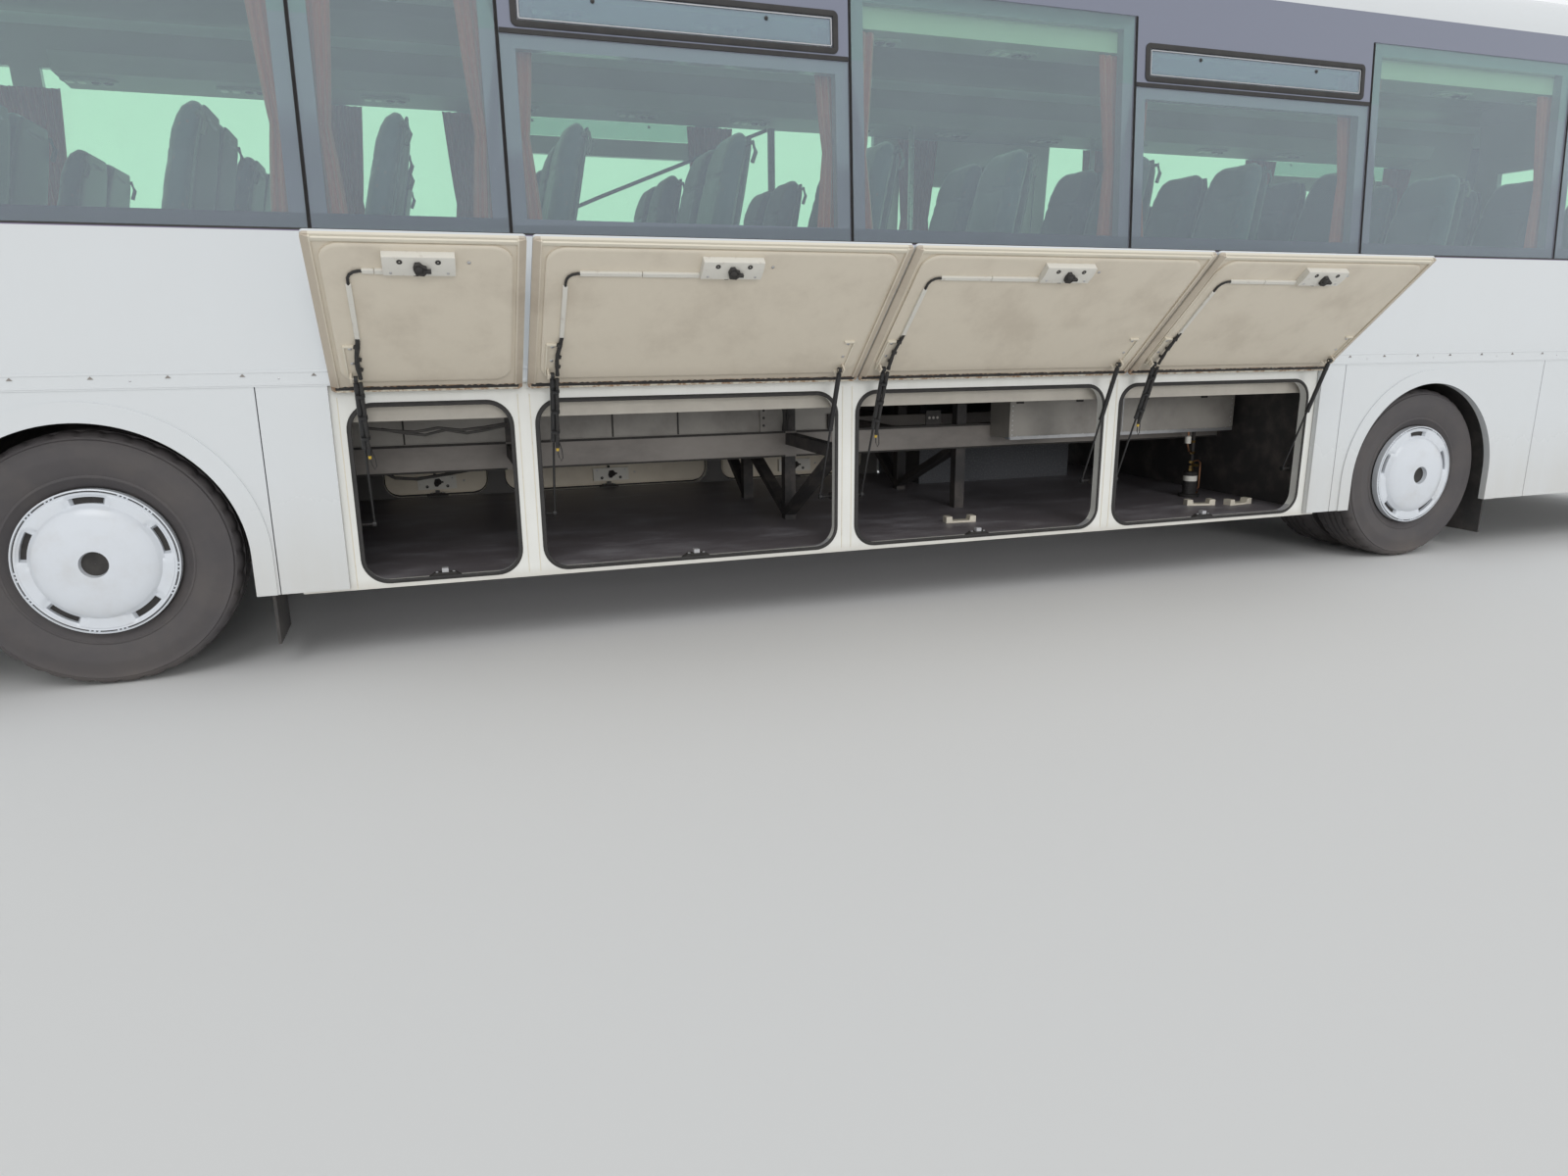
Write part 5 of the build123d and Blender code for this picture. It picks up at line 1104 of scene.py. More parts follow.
dryer = Shape(axes_at((at(DRYER_STATION), MID_Y + DRYER_Y, BAY_FLOOR_TOP), (-1, 0, 0), (0, 1, 0), (0, 0, 1)))
dryer.lathe([(0.0005, 0.012), (0.0625, 0.012), (0.0625, 0.016), (0.040, 0.020), (0.040, 0.058),
             (0.0415, 0.060), (0.0415, 0.082), (0.040, 0.084), (0.040, 0.140), (0.036, 0.1505),
             (0.018, 0.1560), (0.0005, 0.1560)], 0, 32)
dryer.lathe([(0.0402, 0.098), (0.0408, 0.098), (0.0408, 0.130), (0.0402, 0.130)], 1, 32)
for height, radius in ((0.158, 0.0155), (0.176, 0.0135), (0.205, 0.0165), (0.262, 0.0150), (0.330, 0.0135)):
    dryer.lathe([(0.011, height), (radius, height), (radius, height + 0.015), (0.011, height + 0.015)], 2, 6)
dryer.tube([(0.012, 0.0, 0.215), (0.045, 0.004, 0.222), (0.062, 0.006, 0.205), (0.064, 0.006, 0.170),
            (0.064, 0.006, 0.050), (0.058, 0.004, 0.022), (0.040, 0.002, 0.020)], 0.0055, 3)
dryer.tube([(-0.010, 0.010, 0.270), (-0.040, 0.016, 0.282), (-0.055, 0.018, 0.318), (-0.056, 0.018, 0.400)],
           0.0055, 3)
dryer.lathe([(0.0005, 0.0), (0.018, 0.0), (0.018, 0.040), (0.010, 0.046), (0.0005, 0.046)], 1, 20,
            (-0.056, 0.018, 0.330))
dryer.box((-0.012, 0.012, 0.190), (0.012, 0.050, 0.204), 2)
dryer.make("dryer_fittings", "coach", "brass_metal", "loom_black", "latch_white", "brass", "copper_pipe",
           bevel=0.0008)

floor_axes = axes_at((FRONT_AXLE_X, MID_Y, BAY_FLOOR_TOP), (-1, 0, 0), (0, 1, 0), (0, 0, 1))
brackets = Shape()
for station, side, turn in ((5.475, 0.845, 0.25), (5.700, 0.905, -0.1), (3.90, 0.83, 0.1)):
    spread = Matrix.Translation((station, side, 0)) @ Matrix.Rotation(turn, 4, "Z")
    brackets.place = floor_axes @ spread
    brackets.prism([(-0.085, 0.0), (0.085, 0.0), (0.085, 0.034), (0.052, 0.034), (0.048, 0.010),
                    (-0.048, 0.010), (-0.052, 0.034), (-0.085, 0.034)], -0.026, 0.026, 0, 1)
brackets.make("floor_brackets", "coach", "duct_beige", "strip_cream", bevel=0.001)

joints = Shape(face_place(1, 0.0))
for edge in (0.750, 0.905):
    joints.box((edge - 0.002, SILL_Z + 0.004, BAY_FACE - 0.001), (edge + 0.002, 1.090, BAY_FACE + 0.0015), 0)
for ahead, behind in zip(LEFT_BAYS, LEFT_BAYS[1:]):
    for seam in (ahead[1] + 0.030, behind[0] - 0.026):
        joints.box((seam - 0.0018, SILL_Z + 0.020, BAY_FACE - 0.001),
                   (seam + 0.0018, 1.088, BAY_FACE + 0.0022), 0)
joints.make("surround_joints", "coach", "surround_paint", "strip_cream", bevel=0.0006)

# Side windows: gaskets, opening lights and the marks on the waist rail
LEFT_PANES = ((GLAZED[0], -0.600, CAB_SILL_Z, False), (-0.590, 0.876, WINDOW_Z, False),
              (0.884, 1.611, WINDOW_Z, False), (1.619, 3.081, WINDOW_Z, True),
              (3.089, 4.551, WINDOW_Z, False), (4.559, 6.021, WINDOW_Z, True),
              (6.029, 7.491, WINDOW_Z, False), (7.499, GLAZED[1], WINDOW_Z, False))
RIGHT_PANES = ((FRONT_DOOR_REAR, -0.600, WINDOW_Z, False), (-0.590, 0.876, WINDOW_Z, False),
               (0.884, 1.611, WINDOW_Z, False), (1.619, 3.081, WINDOW_Z, True),
               (3.089, MID_DOOR[0], WINDOW_Z, False), (MID_DOOR[1], 6.021, WINDOW_Z, False),
               (6.029, 7.491, WINDOW_Z, False), (7.499, GLAZED[1], WINDOW_Z, True))
HOPPER = (0.060, 2.494, 2.645)
GASKET = [(-0.0075, -0.006), (0.0075, -0.006), (0.0060, 0.0012), (0.0, 0.0022), (-0.0060, 0.0012)]

for hand, panes, side in ((1, LEFT_PANES, "left"), (-1, RIGHT_PANES, "right")):
    gaskets = Shape(glass_place(hand))
    top = BAND_Z - WINDOW_Z
    for front, rear, bottom, hopper in panes:
        low = bottom - WINDOW_Z
        for edge in (front - 0.004, rear + 0.004):
            gaskets.prism([(edge + u, v) for u, v in GASKET], max(low, 0.0), top, 0, 1)
        if low >= 0:
            gaskets.prism([(v, u)
                           for u, v in ((-0.0055, 0.0), (0.0014, 0.0), (0.0014, 0.007), (-0.0055, 0.007))],
                          front, rear, 0)
        if hopper:
            low_edge, high_edge = (z - WINDOW_Z for z in HOPPER[1:])
            gaskets.frame((front + HOPPER[0], low_edge), (rear - HOPPER[0], high_edge), 0.014,
                          [(0.010, -0.004), (0.010, 0.004), (0.003, 0.0065), (-0.013, 0.0050),
                           (-0.016, -0.004)], 0)
            gaskets.frame((front + HOPPER[0] + 0.019, low_edge + 0.019),
                          (rear - HOPPER[0] - 0.019, high_edge - 0.019), 0.008,
                          [(0.0, -0.004), (0.0, 0.0030), (-0.0045, 0.0030), (-0.0045, -0.004)], 1)
            pane_mid = (front + rear) / 2
            for beside in (-0.36, 0.36):
                gaskets.dome((pane_mid + beside, high_edge - 0.045, 0.0), 0.009, 0.006, 0, 12)
            gaskets.frame((front + HOPPER[0] + 0.026, low_edge + 0.026),
                          (rear - HOPPER[0] - 0.026, high_edge - 0.026), 0.004,
                          [(0.0, -0.0065), (0.0, 0.0006), (-0.001, 0.0008)], 2, True)
            gaskets.prism([(low_edge - 0.036, 0.0), (low_edge - 0.034, 0.0024), (low_edge - 0.018, 0.0024),
                           (low_edge - 0.016, 0.0)], front + 0.004, rear - 0.004, 0)
    gaskets.make(f"window_gaskets_{side}", "coach", "seal_rubber", "seal_rubber", "zinc_sheet",
                 "hopper_glass")

    rail = Shape(face_place(hand, SIDE + 0.0028))
    spans = ((-2.22, 9.70),) if hand > 0 else ((-1.21, 4.33), (5.52, 9.70))
    for start, end in spans:
        rail.prism([(WAIST_Z + 0.003, -0.001), (WAIST_Z + 0.006, 0.0018), (WAIST_Z + 0.011, 0.0018),
                    (WAIST_Z + 0.013, -0.001)], start, end)
        rail.prism([(RAIL_TOP - 0.012, -0.001), (RAIL_TOP - 0.010, 0.0022), (RAIL_TOP - 0.004, 0.0022),
                    (RAIL_TOP - 0.001, -0.001)], start, end)
        count = int((end - start - 0.1) / 0.248)
        for step in range(count + 1):
            station = start + 0.08 + 0.248 * step
            rail.prism([(station - 0.010, 1.178), (station + 0.010, 1.178), (station, 1.189)], -0.001,
                       0.0022, 1, 2)
            if step % 2:
                rail.dome((station + 0.124, 1.170, 0.0), 0.0042, 0.0018, 2, 8)
    rail.make(f"waist_strip_{side}", "coach", "white_paint", "panel_enamel", "rail_steel", "bright_steel")


# Curtains
CURTAINS = (-0.595, 0.880, 1.615, 3.085, 4.555, 6.025, 7.495, 8.900)
CURTAIN_FOOT = WINDOW_Z + 0.012
CURTAIN_HEAD = 2.603
PLEATS = 8


def curtain(hand, station, number):
    """Gathered curtain: pleats that tighten towards the tie and hang open at head and foot."""
    fold = random.Random(f"curtain {hand} {number}")
    shifts = [fold.uniform(-0.25, 0.25) for n in range(PLEATS + 1)]
    depths = [fold.uniform(0.75, 1.15) for n in range(PLEATS + 1)]
    shape = Shape()
    columns = 8 * PLEATS
    layers = 26
    front, back, flat = [], [], 0.0
    for layer in range(layers + 1):
        share = layer / layers
        height = CURTAIN_FOOT + (CURTAIN_HEAD - CURTAIN_FOOT) * share
        wide = 0.105 + 0.045 * abs(share - 0.42) ** 0.8 / 0.58 ** 0.8
        deep = 0.0125 - 0.0035 * share
        row = []
        for column in range(columns + 1):
            turn = column / 8
            pleat = min(int(turn), PLEATS)
            along = (column / columns - 0.5) * 2 * wide
            wave = math.cos(math.tau * turn + shifts[pleat] * share * 2)
            offset = 0.0155 + deep * wave * depths[pleat] * 0.98
            row.append(Vector((at(station) + along, side_y(hand, height, 0.0565 + offset), height)))
        front.append(row)
        back.append([point + Vector((0, hand * 0.0008, 0)) for point in row])
        flat += sum((b - a).length for a, b in zip(row, row[1:])) / (layers + 1)
    shape.skin([ahead + list(reversed(behind)) for ahead, behind in zip(front, back)], 0, True, True)
    piece = shape.make(f"curtain_{'left' if hand > 0 else 'right'}_{number}", "coach", "curtain_cloth",
                       "curtain_cloth", sharp=180)
    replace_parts(piece, "curtains")


for hand in (1, -1):
    for number, station in enumerate(CURTAINS, 1):
        curtain(hand, station, number)


# Seats
SEAT_FIRST = -0.270
SEAT_PITCH = 0.715
SEAT_ROWS = 13
SEAT_WIDTH = 0.430
SEAT_NEAR = (0.215, 0.657)
STAIR_STATIONS = (4.0, 6.1)
CABIN_FLOOR = 1.150
CAB_FLOOR = 0.860
DRIVER = (-1.150, 0.620)
# Levels of a pad: centre, half width, half depth, place along it
BACK = [(0.080, 0.150, 0.020, 0.425), (0.078, 0.195, 0.042, 0.440), (0.070, 0.204, 0.049, 0.500),
        (0.045, 0.206, 0.047, 0.620), (0.015, 0.203, 0.044, 0.760), (-0.010, 0.192, 0.043, 0.860),
        (-0.030, 0.182, 0.046, 0.930), (-0.050, 0.172, 0.044, 0.985), (-0.061, 0.156, 0.035, 1.024),
        (-0.067, 0.118, 0.017, 1.047)]
CUSHION = [(0.375, 0.150, 0.020, 0.078), (0.378, 0.198, 0.043, 0.098), (0.375, 0.205, 0.050, 0.200),
           (0.378, 0.205, 0.050, 0.350), (0.376, 0.203, 0.048, 0.460), (0.368, 0.188, 0.040, 0.498),
           (0.355, 0.150, 0.020, 0.514)]
SHELL = [(0.026, 0.196, 0.010, 0.370), (0.014, 0.211, 0.012, 0.500), (-0.012, 0.211, 0.012, 0.620),
         (-0.042, 0.209, 0.012, 0.760), (-0.066, 0.198, 0.011, 0.870), (-0.087, 0.180, 0.010, 0.960),
         (-0.100, 0.150, 0.007, 1.020)]
PAD_STEPS = 24
PUFF = 0.010
PAD_VOXEL = 0.007
PAD_TRIANGLES = 1500
PAD_PRESSURE = 4
PAD_FRAMES = 20


def pad_rows(levels, upright):
    """Rows round a rounded pad, drawn up the back or along the cushion."""
    turns = [math.tau * k / PAD_STEPS for k in range(PAD_STEPS)]
    rows = []
    for centre, wide, deep, reach in levels:
        ring = [(centre + deep * math.copysign(abs(math.sin(turn)) ** 0.6, math.sin(turn)),
                 wide * math.copysign(abs(math.cos(turn)) ** 0.35, math.cos(turn))) for turn in turns]
        rows.append([(depth, y, reach) if upright else (reach, y, depth) for depth, y in ring])
    return rows


def evaluated(piece):
    return bpy.data.meshes.new_from_object(piece.evaluated_get(bpy.context.evaluated_depsgraph_get()))


def stuffed(levels, upright, seams):
    """Points and faces of a pad: blown up as cloth, sewn in at its seams and thinned for its copies."""
    shape = Shape()
    shape.skin(pad_rows(levels, upright), 0, True, True)
    mesh = bpy.data.meshes.new("pad_form")
    mesh.from_pydata(shape.points, [], shape.faces)
    form = bpy.data.objects.new("pad_form", mesh)
    bpy.context.scene.collection.objects.link(form)
    remesh = form.modifiers.new("remesh", "REMESH")
    remesh.mode = "VOXEL"
    remesh.voxel_size = PAD_VOXEL
    form.data = evaluated(form)
    form.modifiers.clear()
    start = [vertex.co.copy() for vertex in form.data.vertices]
    cloth = form.modifiers.new("cloth", "CLOTH")
    cloth.settings.use_pressure = True
    cloth.settings.uniform_pressure_force = PAD_PRESSURE
    cloth.settings.effector_weights.gravity = 0
    for step in range(1, PAD_FRAMES + 1):
        bpy.context.scene.frame_set(step)
    form.data = evaluated(form)
    form.modifiers.clear()
    bpy.context.scene.frame_set(1)
    for vertex, place in zip(form.data.vertices, start):
        move = vertex.co - place
        if move.length > PUFF:
            vertex.co = place + move.normalized() * PUFF
        depth = sum(0.006 * math.exp(-(distance / 0.009) ** 2) for distance in seams(vertex.co))
        vertex.co -= vertex.normal * min(depth, 0.008)
    thin = form.modifiers.new("thin", "DECIMATE")
    thin.ratio = PAD_TRIANGLES / (2 * len(form.data.polygons))
    form.data = evaluated(form)
    points = [vertex.co.copy() for vertex in form.data.vertices]
    faces = [list(face.vertices) for face in form.data.polygons]
    bpy.data.objects.remove(form)
    return points, faces


def back_seams(point):
    return (abs(point.y) - 0.125 if point.z < 0.86 else 1.0, point.z - 0.86,
            point.z - 0.60 if abs(point.y) < 0.125 else 1.0)


def cushion_seams(point):
    return (abs(point.y) - 0.125, point.x - 0.43)


seat_places = [(hand, SEAT_FIRST + SEAT_PITCH * row, near + SEAT_WIDTH / 2, CABIN_FLOOR)
               for hand in (1, -1) for row in range(SEAT_ROWS) for near in SEAT_NEAR
               if hand > 0 or not STAIR_STATIONS[0] < SEAT_FIRST + SEAT_PITCH * row < STAIR_STATIONS[1]]
seat_places.append((1, DRIVER[0], DRIVER[1], CAB_FLOOR))

back_form = stuffed(BACK, True, back_seams)
cushion_form = stuffed(CUSHION, False, cushion_seams)
backs = Shape()
cushions = Shape()
frames = Shape()
for hand, station, across, base in seat_places:
    spot = Matrix.Translation((at(station), MID_Y + hand * across, base))
    backs.form([spot @ point for point in back_form[0]], back_form[1])
    cushions.form([spot @ point for point in cushion_form[0]], cushion_form[1])
    frames.place = spot
    frames.skin(pad_rows(SHELL, True), 0, True, True)
    inner = -hand if across < 0.5 else hand
    frames.tube([(-0.072, inner * 0.150, 0.985), (-0.098, inner * 0.186, 0.990),
                 (-0.108, inner * 0.192, 0.950), (-0.090, inner * 0.196, 0.905)], 0.010, 1, 8)
    frames.prism([(0.060, 0.575), (0.340, 0.590), (0.365, 0.610), (0.360, 0.628), (0.060, 0.620)],
                 inner * 0.214 - 0.012, inner * 0.214 + 0.012, 0, 1)
    frames.box((0.045, inner * 0.214 - 0.010, 0.330), (0.075, inner * 0.214 + 0.010, 0.620), 1)
    for rail in (0.130, 0.430):
        frames.tube([(rail, -0.218, 0.302), (rail, 0.218, 0.302)], 0.014, 1, 8)
    frames.box((0.115, inner * 0.120 - 0.016, 0.004), (0.145, inner * 0.120 + 0.016, 0.296), 1)
    frames.box((0.400, inner * 0.120 - 0.016, 0.004), (0.430, inner * 0.120 + 0.016, 0.296), 1)
    frames.box((0.060, inner * 0.120 - 0.024, 0.0005), (0.480, inner * 0.120 + 0.024, 0.008), 1)
for pads, name in ((backs, "seat_backs"), (cushions, "seat_cushions")):
    piece = pads.make(name, "coach", "seat_fabric", "seat_plush", sharp=180)
    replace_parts(piece, "seats")
frames.place = Matrix()
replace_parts(frames.make("seat_frames", "coach", "housing_black", "seat_shell", "housing_black", bevel=0.002),
            "seats")


# Cabin: rails, posts and a panel that show through the glass
cabin = Shape()


def inside(station, y, z):
    return Vector((at(station), MID_Y + y, z))


cabin.tube([inside(3.47, -1.03, 1.16), inside(3.47, -1.03, 2.60)], 0.024, 0, 12)
cabin.tube([inside(3.44, -1.03, 2.59), inside(2.35, -1.03, 2.15), inside(1.95, -1.03, 1.98)], 0.012, 0, 10)
cabin.tube([inside(4.26, -0.60, 1.16), inside(4.26, -0.60, 2.58)], 0.017, 1, 12)
cabin.tube([inside(5.60, -0.60, 1.16), inside(5.60, -0.60, 2.58)], 0.017, 1, 12)
for station in (4.26, 5.60):
    cabin.box(inside(station + 0.012, -1.10, 1.20), inside(station - 0.012, -0.60, 1.90), 2)
cabin.tube([inside(5.90, 0.42, 1.16), inside(5.90, 0.42, 1.90)], 0.012, 0, 10)
cabin.tube([inside(5.90, 0.62, 1.16), inside(5.90, 0.62, 1.90)], 0.012, 0, 10)
panel = Shape(axes_at(inside(5.885, 0.52, 2.0), (0, 1, 0), (0, 0, 1), (1, 0, 0)))
panel.frame((-0.110, -0.150), (0.110, 0.150), 0.050,
            [(-0.003, -0.012), (0.0, -0.008), (0.0, 0.008), (-0.004, 0.012)], 0, True)
for height in (-0.070, 0.065):
    panel.lathe([(0.052, 0.010), (0.052, 0.016), (0.044, 0.020), (0.002, 0.020), (0.002, 0.010)], 1, 28,
                (0.0, height, 0.0))
    panel.lathe([(0.024, 0.0195), (0.022, 0.024), (0.002, 0.024), (0.002, 0.0195)], 2, 20,
                (0.0, height, 0.0))
panel.make("cabin_panel", "coach", "rack_plastic", "strip_cream", "latch_white", "grey_trim", bevel=0.001)
cabin.make("cabin_rails", "coach", "housing_black", "black_plastic", "bright_steel", "grey_trim",
           bevel=0.001)

racks = Shape()
for hand in (1, -1):
    for row in range(SEAT_ROWS):
        racks.place = axes_at(inside(SEAT_FIRST + SEAT_PITCH * row, hand * 0.955, 2.6185), (1, 0, 0),
                              (0, -hand, 0), (0, 0, -1))
        racks.frame((-0.130, -0.048), (0.130, 0.048), 0.040, [(0.0, -0.004), (0.0, 0.004), (-0.006, 0.009)],
                    0, True)
        for beside in (-0.085, -0.030):
            racks.lathe([(0.023, 0.008), (0.023, 0.012), (0.015, 0.018), (0.002, 0.018), (0.002, 0.008)], 1,
                        16, (beside, 0.0, 0.0))
        for beside in (0.035, 0.090):
            racks.frame((beside - 0.017, -0.026), (beside + 0.017, 0.026), 0.008,
                        [(0.0, 0.008), (0.0, 0.012), (-0.004, 0.013)], 2, True)
racks.place = Matrix()
racks.make("rack_vents", "coach", "rack_plastic", "grey_trim", "black_plastic", "latch_white")


# Front, rear, doors and roof: beads and parts laid on the shaped panels
SKINS = {}


def laid(names, start, way):
    """Point and outward direction where a line meets the nearest of the named nodes."""
    found = None
    for name in names:
        if name not in SKINS:
            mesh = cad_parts[name].data
            faces = [face.vertices for face in mesh.polygons]
            SKINS[name] = BVHTree.FromPolygons([v.co for v in mesh.vertices], faces)
        point, normal, number, distance = SKINS[name].ray_cast(Vector(start), Vector(way))
        if point is not None and (found is None or distance < found[2]):
            found = (point, normal if normal.dot(Vector(way)) < 0 else -normal, distance)
    return found[:2] if found else None


def bead(shape, names, starts, way, half, lift, finish=0, closed=False):
    """Low bead along a line laid on the nodes: half its width, and how far it stands out."""
    places = [place for place in (laid(names, start, way) for start in starts) if place]
    rows = []
    count = len(places)
    for n, (point, normal) in enumerate(places):
        after = places[(n + 1) % count if closed else min(n + 1, count - 1)][0]
        before = places[(n - 1) % count if closed else max(n - 1, 0)][0]
        side = normal.cross(after - before).normalized()
        rows.append([point - side * half - normal * 0.003, point - side * half * 0.75 + normal * lift,
                     point + side * half * 0.75 + normal * lift, point + side * half - normal * 0.003])
    shape.skin(rows, finish, True, not closed, closed)


def loop(low, high, corner, steps=5, runs=16):
    """Points round a rounded rectangle, with its long runs divided."""
    corners = [centre + out * corner for centre, out in rounded(low, high, corner, steps)]
    points = []
    for n, point in enumerate(corners):
        after = corners[(n + 1) % len(corners)]
        parts = runs if (after - point).length > 4 * corner else 1
        points += [point.lerp(after, k / parts) for k in range(parts)]
    return points


AHEAD = cad_high[0] + 0.5
BEHIND = cad_low[0] - 0.5
FRONT_WAY = (-1, 0, 0)
REAR_WAY = (1, 0, 0)


def from_front(points):
    return [(AHEAD, MID_Y + point[0], point[1]) for point in points]


def line(start, end, count=16):
    return [Vector(start).lerp(Vector(end), k / count) for k in range(count + 1)]


nose = Shape()
front_nodes = ("front_mask", "windscreen", "front_bumper", "headlamps")
bead(nose, ("front_mask", "windscreen"), from_front(loop((-1.146, 1.234), (1.146, 2.676), 0.09)), FRONT_WAY,
     0.012, 0.005, 0, True)
for height in (0.945, 0.985, 1.025, 1.065):
    bead(nose, ("front_mask",), from_front(line((-0.62, height), (0.62, height), 24)), FRONT_WAY, 0.014,
         0.004, 1)
for height in (0.345, 0.385, 0.425):
    bead(nose, ("front_bumper",), from_front(line((-0.48, height), (0.48, height), 20)), FRONT_WAY, 0.012,
         0.003, 1)
for side in (1, -1):
    bead(nose, front_nodes,
         from_front(loop((side * 0.95 - 0.232, 0.703), (side * 0.95 + 0.232, 0.897), 0.03, 4, 8)), FRONT_WAY,
         0.007, 0.005, 1, True)
    bead(nose, ("front_bumper",),
         from_front(loop((side * 0.82 - 0.07, 0.375), (side * 0.82 + 0.07, 0.445), 0.034, 5, 4)), FRONT_WAY,
         0.006, 0.005, 1, True)
    bead(nose, ("front_bumper",),
         from_front(line((side * 0.82 - 0.055, 0.410), (side * 0.82 + 0.055, 0.410), 6)), FRONT_WAY, 0.026,
         0.003, 2)
bead(nose, ("front_mask",), from_front(line((-1.12, 1.150), (1.12, 1.150), 30)), FRONT_WAY, 0.0035, 0.002, 1)
bead(nose, ("front_bumper",), from_front(line((-0.27, 0.500), (0.27, 0.500), 8)), FRONT_WAY, 0.052, 0.002, 3)
nose.make("front_trim", "coach", "seal_rubber", "seal_rubber", "black_plastic", "lamp_clear", "panel_enamel")

lamps = Shape()
for side in (1, -1):
    for across, radius in ((0.84, 0.070), (1.00, 0.060), (1.09, 0.038)):
        place = laid(("headlamps",), (AHEAD, MID_Y + side * across, 0.80), FRONT_WAY)
        if place:
            turned = place[1].to_track_quat("Z", "Y").to_matrix().to_4x4()
            lamps.place = Matrix.Translation(place[0]) @ turned
            lamps.lathe([(radius, -0.001), (radius, 0.0025), (radius * 0.86, 0.0040),
                         (radius * 0.80, 0.0015), (radius * 0.30, 0.0010), (radius * 0.26, 0.0035),
                         (0.001, 0.0045), (0.001, -0.001)], 0, 32)
lamps.place = Matrix()
lamps.make("headlamp_rings", "coach", "bright_metal", "bright_steel")

wipers = Shape()
for side in (1, -1):
    blade = [laid(("windscreen",), (AHEAD, MID_Y + side * (0.10 + 0.85 * k / 14), 1.330 + 0.02 * k / 14),
                  FRONT_WAY)
             for k in range(15)]
    blade = [point + normal * 0.010 for point, normal in [place for place in blade if place]]
    wipers.tube(blade, 0.008, 0, 8)
    middle = blade[len(blade) // 2] + Vector((0.014, 0, 0))
    root = laid(("front_mask",), (AHEAD, MID_Y + side * 0.12, 1.185), FRONT_WAY)
    if root:
        wipers.tube([root[0] + root[1] * 0.012, root[0] + root[1] * 0.018 + Vector((0, side * 0.12, 0.035)),
                     middle], 0.009, 0, 8)
        wipers.place = Matrix.Translation(root[0]) @ root[1].to_track_quat("Z", "Y").to_matrix().to_4x4()
        wipers.lathe([(0.028, -0.002), (0.026, 0.012), (0.012, 0.020), (0.001, 0.020), (0.001, -0.002)], 0,
                     20)
        wipers.place = Matrix()
wipers.make("wipers", "coach", "housing_black", "black_plastic")

MIRROR_BACK = 6.2695
mirrors = Shape()
for side in (1, -1):
    mirrors.place = axes_at((MIRROR_BACK, MID_Y + side * 1.405, 2.210), (0, -1, 0), (0, 0, 1), (-1, 0, 0))
    mirrors.frame((-0.084, -0.080), (0.084, 0.222), 0.022, [(0.0, -0.002), (0.0, 0.002), (-0.004, 0.004)], 0,
                  True)
    mirrors.frame((-0.084, -0.222), (0.084, -0.096), 0.022, [(0.0, -0.002), (0.0, 0.002), (-0.004, 0.0045)],
                  0, True)
mirrors.place = Matrix()
mirrors.make("mirror_glass", "coach", "bright_metal", "mirror_silver")

tail = Shape()


def from_rear(points):
    return [(BEHIND, MID_Y + point[0], point[1]) for point in points]


bead(tail, ("rear_mask", "rear_window"), from_rear(loop((-1.016, 1.764), (1.016, 2.636), 0.07)), REAR_WAY,
     0.012, 0.005, 0, True)
for side in (1, -1):
    for height in (0.92, 1.08, 1.24):
        bead(tail, ("tail_lamps",), from_rear(line((side * 0.992, height), (side * 1.124, height), 6)),
             REAR_WAY, 0.006, 0.003, 1)
    bead(tail, ("rear_mask", "tail_lamps"),
         from_rear(loop((side * 1.0575 - 0.076, 0.757), (side * 1.0575 + 0.076, 1.403), 0.02, 4, 8)),
         REAR_WAY, 0.005, 0.004, 1, True)
    bead(tail, ("rear_bumper",), from_rear(line((side * 0.98 - 0.05, 0.43), (side * 0.98 + 0.05, 0.43), 6)),
         REAR_WAY, 0.020, 0.003, 2)
bead(tail, ("rear_bumper",), from_rear(line((-1.10, 0.50), (1.10, 0.50), 30)), REAR_WAY, 0.004, 0.002, 1)
tail.make("rear_trim", "coach", "seal_rubber", "seal_rubber", "black_plastic", "lamp_red")

louvres = Shape()
for height in [0.745 + 0.036 * k for k in range(9)]:
    for low, high in ((-0.80, -0.30), (0.30, 0.80)):
        bead(louvres, ("engine_lid",), from_rear(line((low, height), (high, height), 10)), REAR_WAY, 0.011,
             0.007, 0)
bead(louvres, ("engine_lid",), from_rear(loop((-0.10, 1.34), (0.10, 1.40), 0.02, 4, 4)), REAR_WAY, 0.006,
     0.005, 1, True)
bead(louvres, ("engine_lid",), from_rear(line((-0.26, 0.86), (0.26, 0.86), 8)), REAR_WAY, 0.056, 0.002, 2)
louvres.make("engine_lid_louvres", "engine_lid", "white_paint", "black_plastic", "bright_steel",
             "panel_enamel")

doors = Shape()
door_nodes = ("passenger_doors", "side_glass", "side_right")
for front, rear, low, high in ((-2.235, -1.225, 0.340, 2.560), (4.340, 5.510, 0.340, 2.420)):
    for inset, width in ((0.003, 0.006), (0.094, 0.009)):
        bottom = low + inset if inset < 0.05 else 0.616
        edge = [(at(point[0]), cad_low[1] - 0.5, point[1])
                for point in loop((front + inset, bottom), (rear - inset, high - inset), 0.03, 4, 14)]
        bead(doors, door_nodes, edge, (0, 1, 0), width, 0.003, 0, True)
    middle = (front + rear) / 2
    if rear > 0:
        bead(doors, door_nodes,
             [(at(middle), cad_low[1] - 0.5, low + 0.02 + (high - low - 0.04) * k / 24) for k in range(25)],
             (0, 1, 0), 0.016, 0.004, 0)
    grip = laid(door_nodes, (at(rear - 0.05), cad_low[1] - 0.5, 1.05), (0, 1, 0))
    doors.box(grip[0] + Vector((-0.014, -0.010, -0.06)), grip[0] + Vector((0.014, 0.002, 0.06)), 1)
doors.make("door_seals", "coach", "seal_rubber", "seal_rubber", "black_plastic", bevel=0.0006)

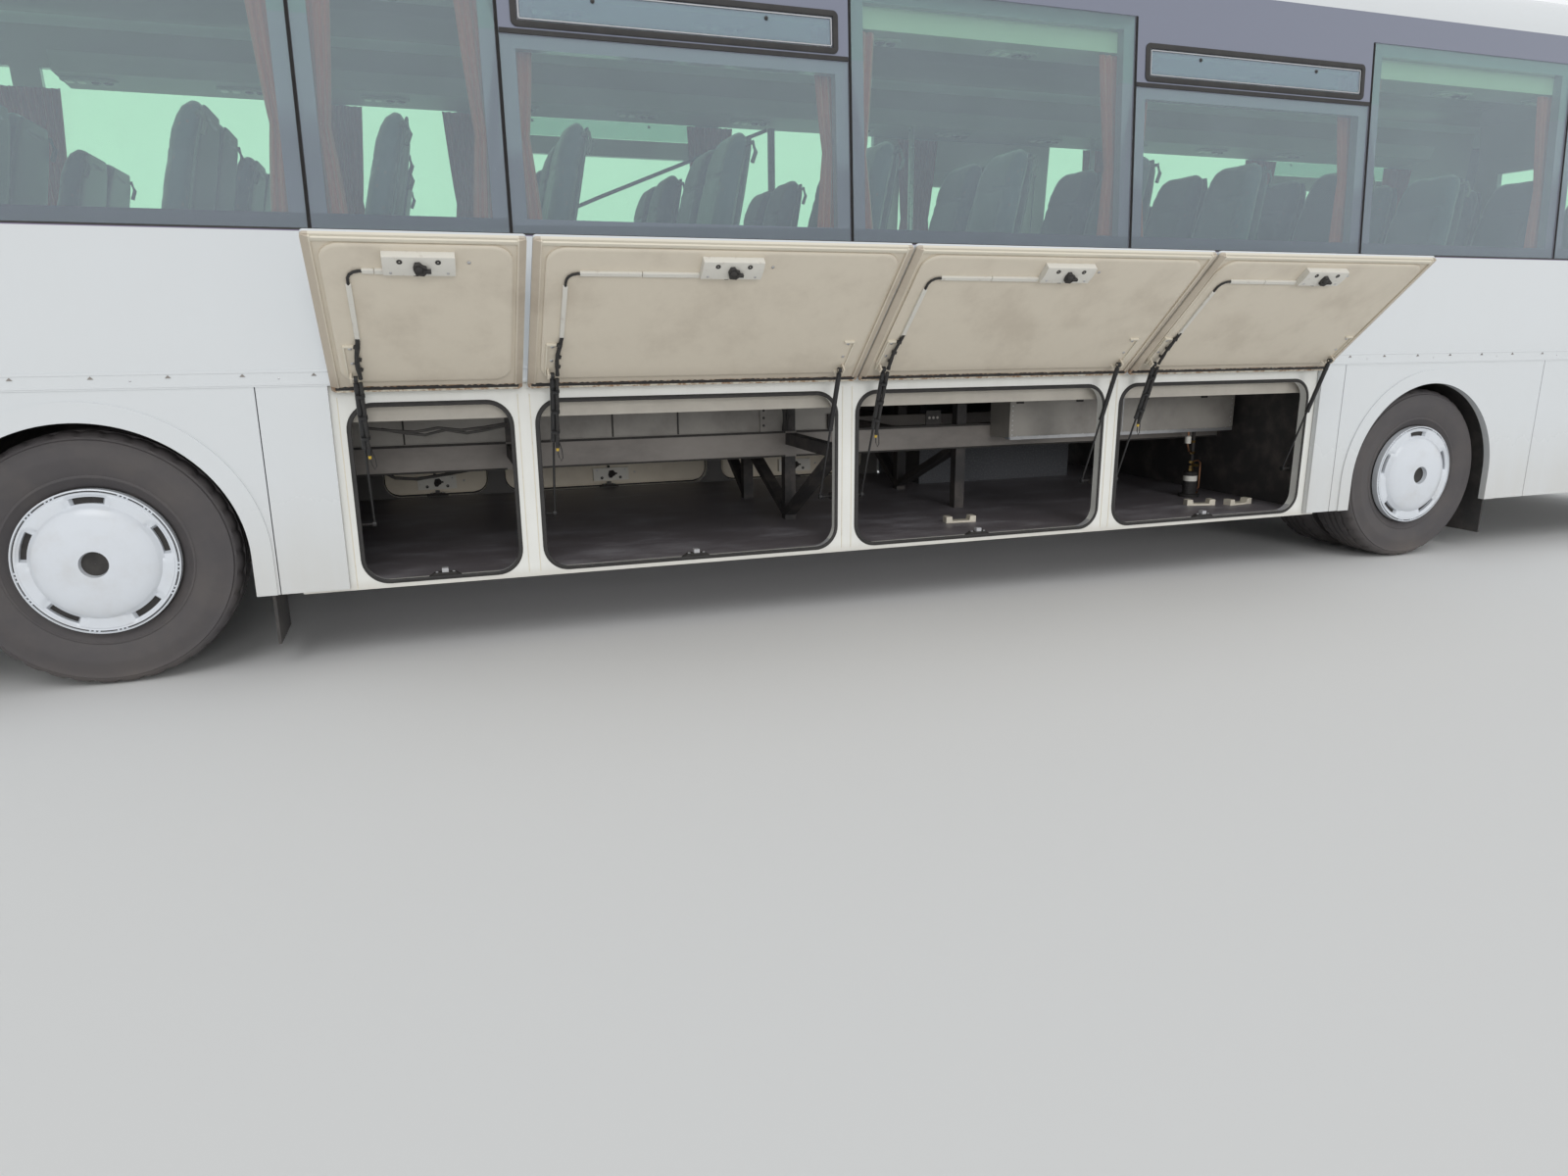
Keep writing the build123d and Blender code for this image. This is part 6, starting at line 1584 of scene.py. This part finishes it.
roof = Shape()
for station in (1.5, 6.9):
    for beside in (-0.26, -0.13, 0.0, 0.13, 0.26):
        bead(roof, ("roof",),
             [(at(station + 0.30 - 0.6 * k / 8), MID_Y + beside, cad_high[2] + 0.5) for k in range(9)],
             (0, 0, -1), 0.014, 0.0, 0)
    edge = loop((station - 0.372, -0.372), (station + 0.372, 0.372), 0.05, 4, 10)
    bead(roof, ("roof",), [(at(point[0]), MID_Y + point[1], cad_high[2] + 0.5) for point in edge],
         (0, 0, -1), 0.006, 0.0, 1, True)
for station in (-1.2, 0.4, 3.1, 5.4, 8.3):
    bead(roof, ("roof",), [(at(station), MID_Y - 1.10 + 2.2 * k / 30, cad_high[2] + 0.5) for k in range(31)],
         (0, 0, -1), 0.008, 0.0016, 2)
roof.make("roof_trim", "coach", "white_paint", "panel_enamel", "seal_rubber", "strip_cream")


# Studio: pale floor, pale surroundings and soft light
def floor_finish(tree):
    return surface(tree, (0.80, 0.80, 0.79), 0.75)


material("studio_floor")(floor_finish)
bpy.ops.mesh.primitive_plane_add(size=240)
floor = bpy.context.object
floor.name = "floor"
floor.data.materials.append(MATERIALS["studio_floor"])

world = bpy.data.worlds.new("studio")
bpy.context.scene.world = world
world.use_nodes = True
world.node_tree.nodes.clear()
sky = Wire(world.node_tree)
rays = sky.make("ShaderNodeLightPath")
seen = Wire(world.node_tree, rays.socket.node.outputs["Is Camera Ray"])
glossy = Wire(world.node_tree, rays.socket.node.outputs["Is Glossy Ray"])
passing = Wire(world.node_tree, rays.socket.node.outputs["Is Transmission Ray"])
level = 0.64 + (seen + glossy + passing).least(1.0) * 0.32
backdrop = sky.make("ShaderNodeBackground", None, {"Color": (0.96, 0.98, 1.0, 1.0), "Strength": level})
output = world.node_tree.nodes.new("ShaderNodeOutputWorld")
world.node_tree.links.new(backdrop.socket, output.inputs["Surface"])

sun = bpy.data.objects.new("soft_sun", bpy.data.lights.new("soft_sun", "SUN"))
sun.data.energy = 0.5
sun.data.angle = math.radians(30)
sun.rotation_euler = (math.radians(-42), math.radians(12), 0)
bpy.context.scene.collection.objects.link(sun)
low_sun = bpy.data.objects.new("low_sun", bpy.data.lights.new("low_sun", "SUN"))
low_sun.data.energy = 0.85
low_sun.data.angle = math.radians(20)
low_sun.rotation_euler = (math.radians(-80), 0, 0)
low_sun.visible_glossy = False
low_sun.visible_transmission = False
bpy.context.scene.collection.objects.link(low_sun)

# Camera
forward = Vector((-math.sin(CAMERA_YAW) * math.cos(CAMERA_PITCH),
                  -math.cos(CAMERA_YAW) * math.cos(CAMERA_PITCH), -math.sin(CAMERA_PITCH)))
level_right = forward.cross(Vector((0, 0, 1))).normalized()
level_up = level_right.cross(forward)
right = level_right * math.cos(CAMERA_ROLL) + level_up * math.sin(CAMERA_ROLL)
up = right.cross(forward)
camera = bpy.data.objects.new("camera", bpy.data.cameras.new("camera"))
camera.data.lens = FOCAL_PIXELS / PHOTO_WIDTH * SENSOR
camera.data.sensor_width = SENSOR
camera.data.clip_end = 500
camera.matrix_world = Matrix.Translation((at(CAMERA_STATION), MID_Y + CAMERA_SIDE, CAMERA_Z)) @ Matrix(
    (right, up, -forward)).transposed().to_4x4()
bpy.context.scene.collection.objects.link(camera)
bpy.context.scene.camera = camera
bpy.context.scene.view_settings.view_transform = "Standard"
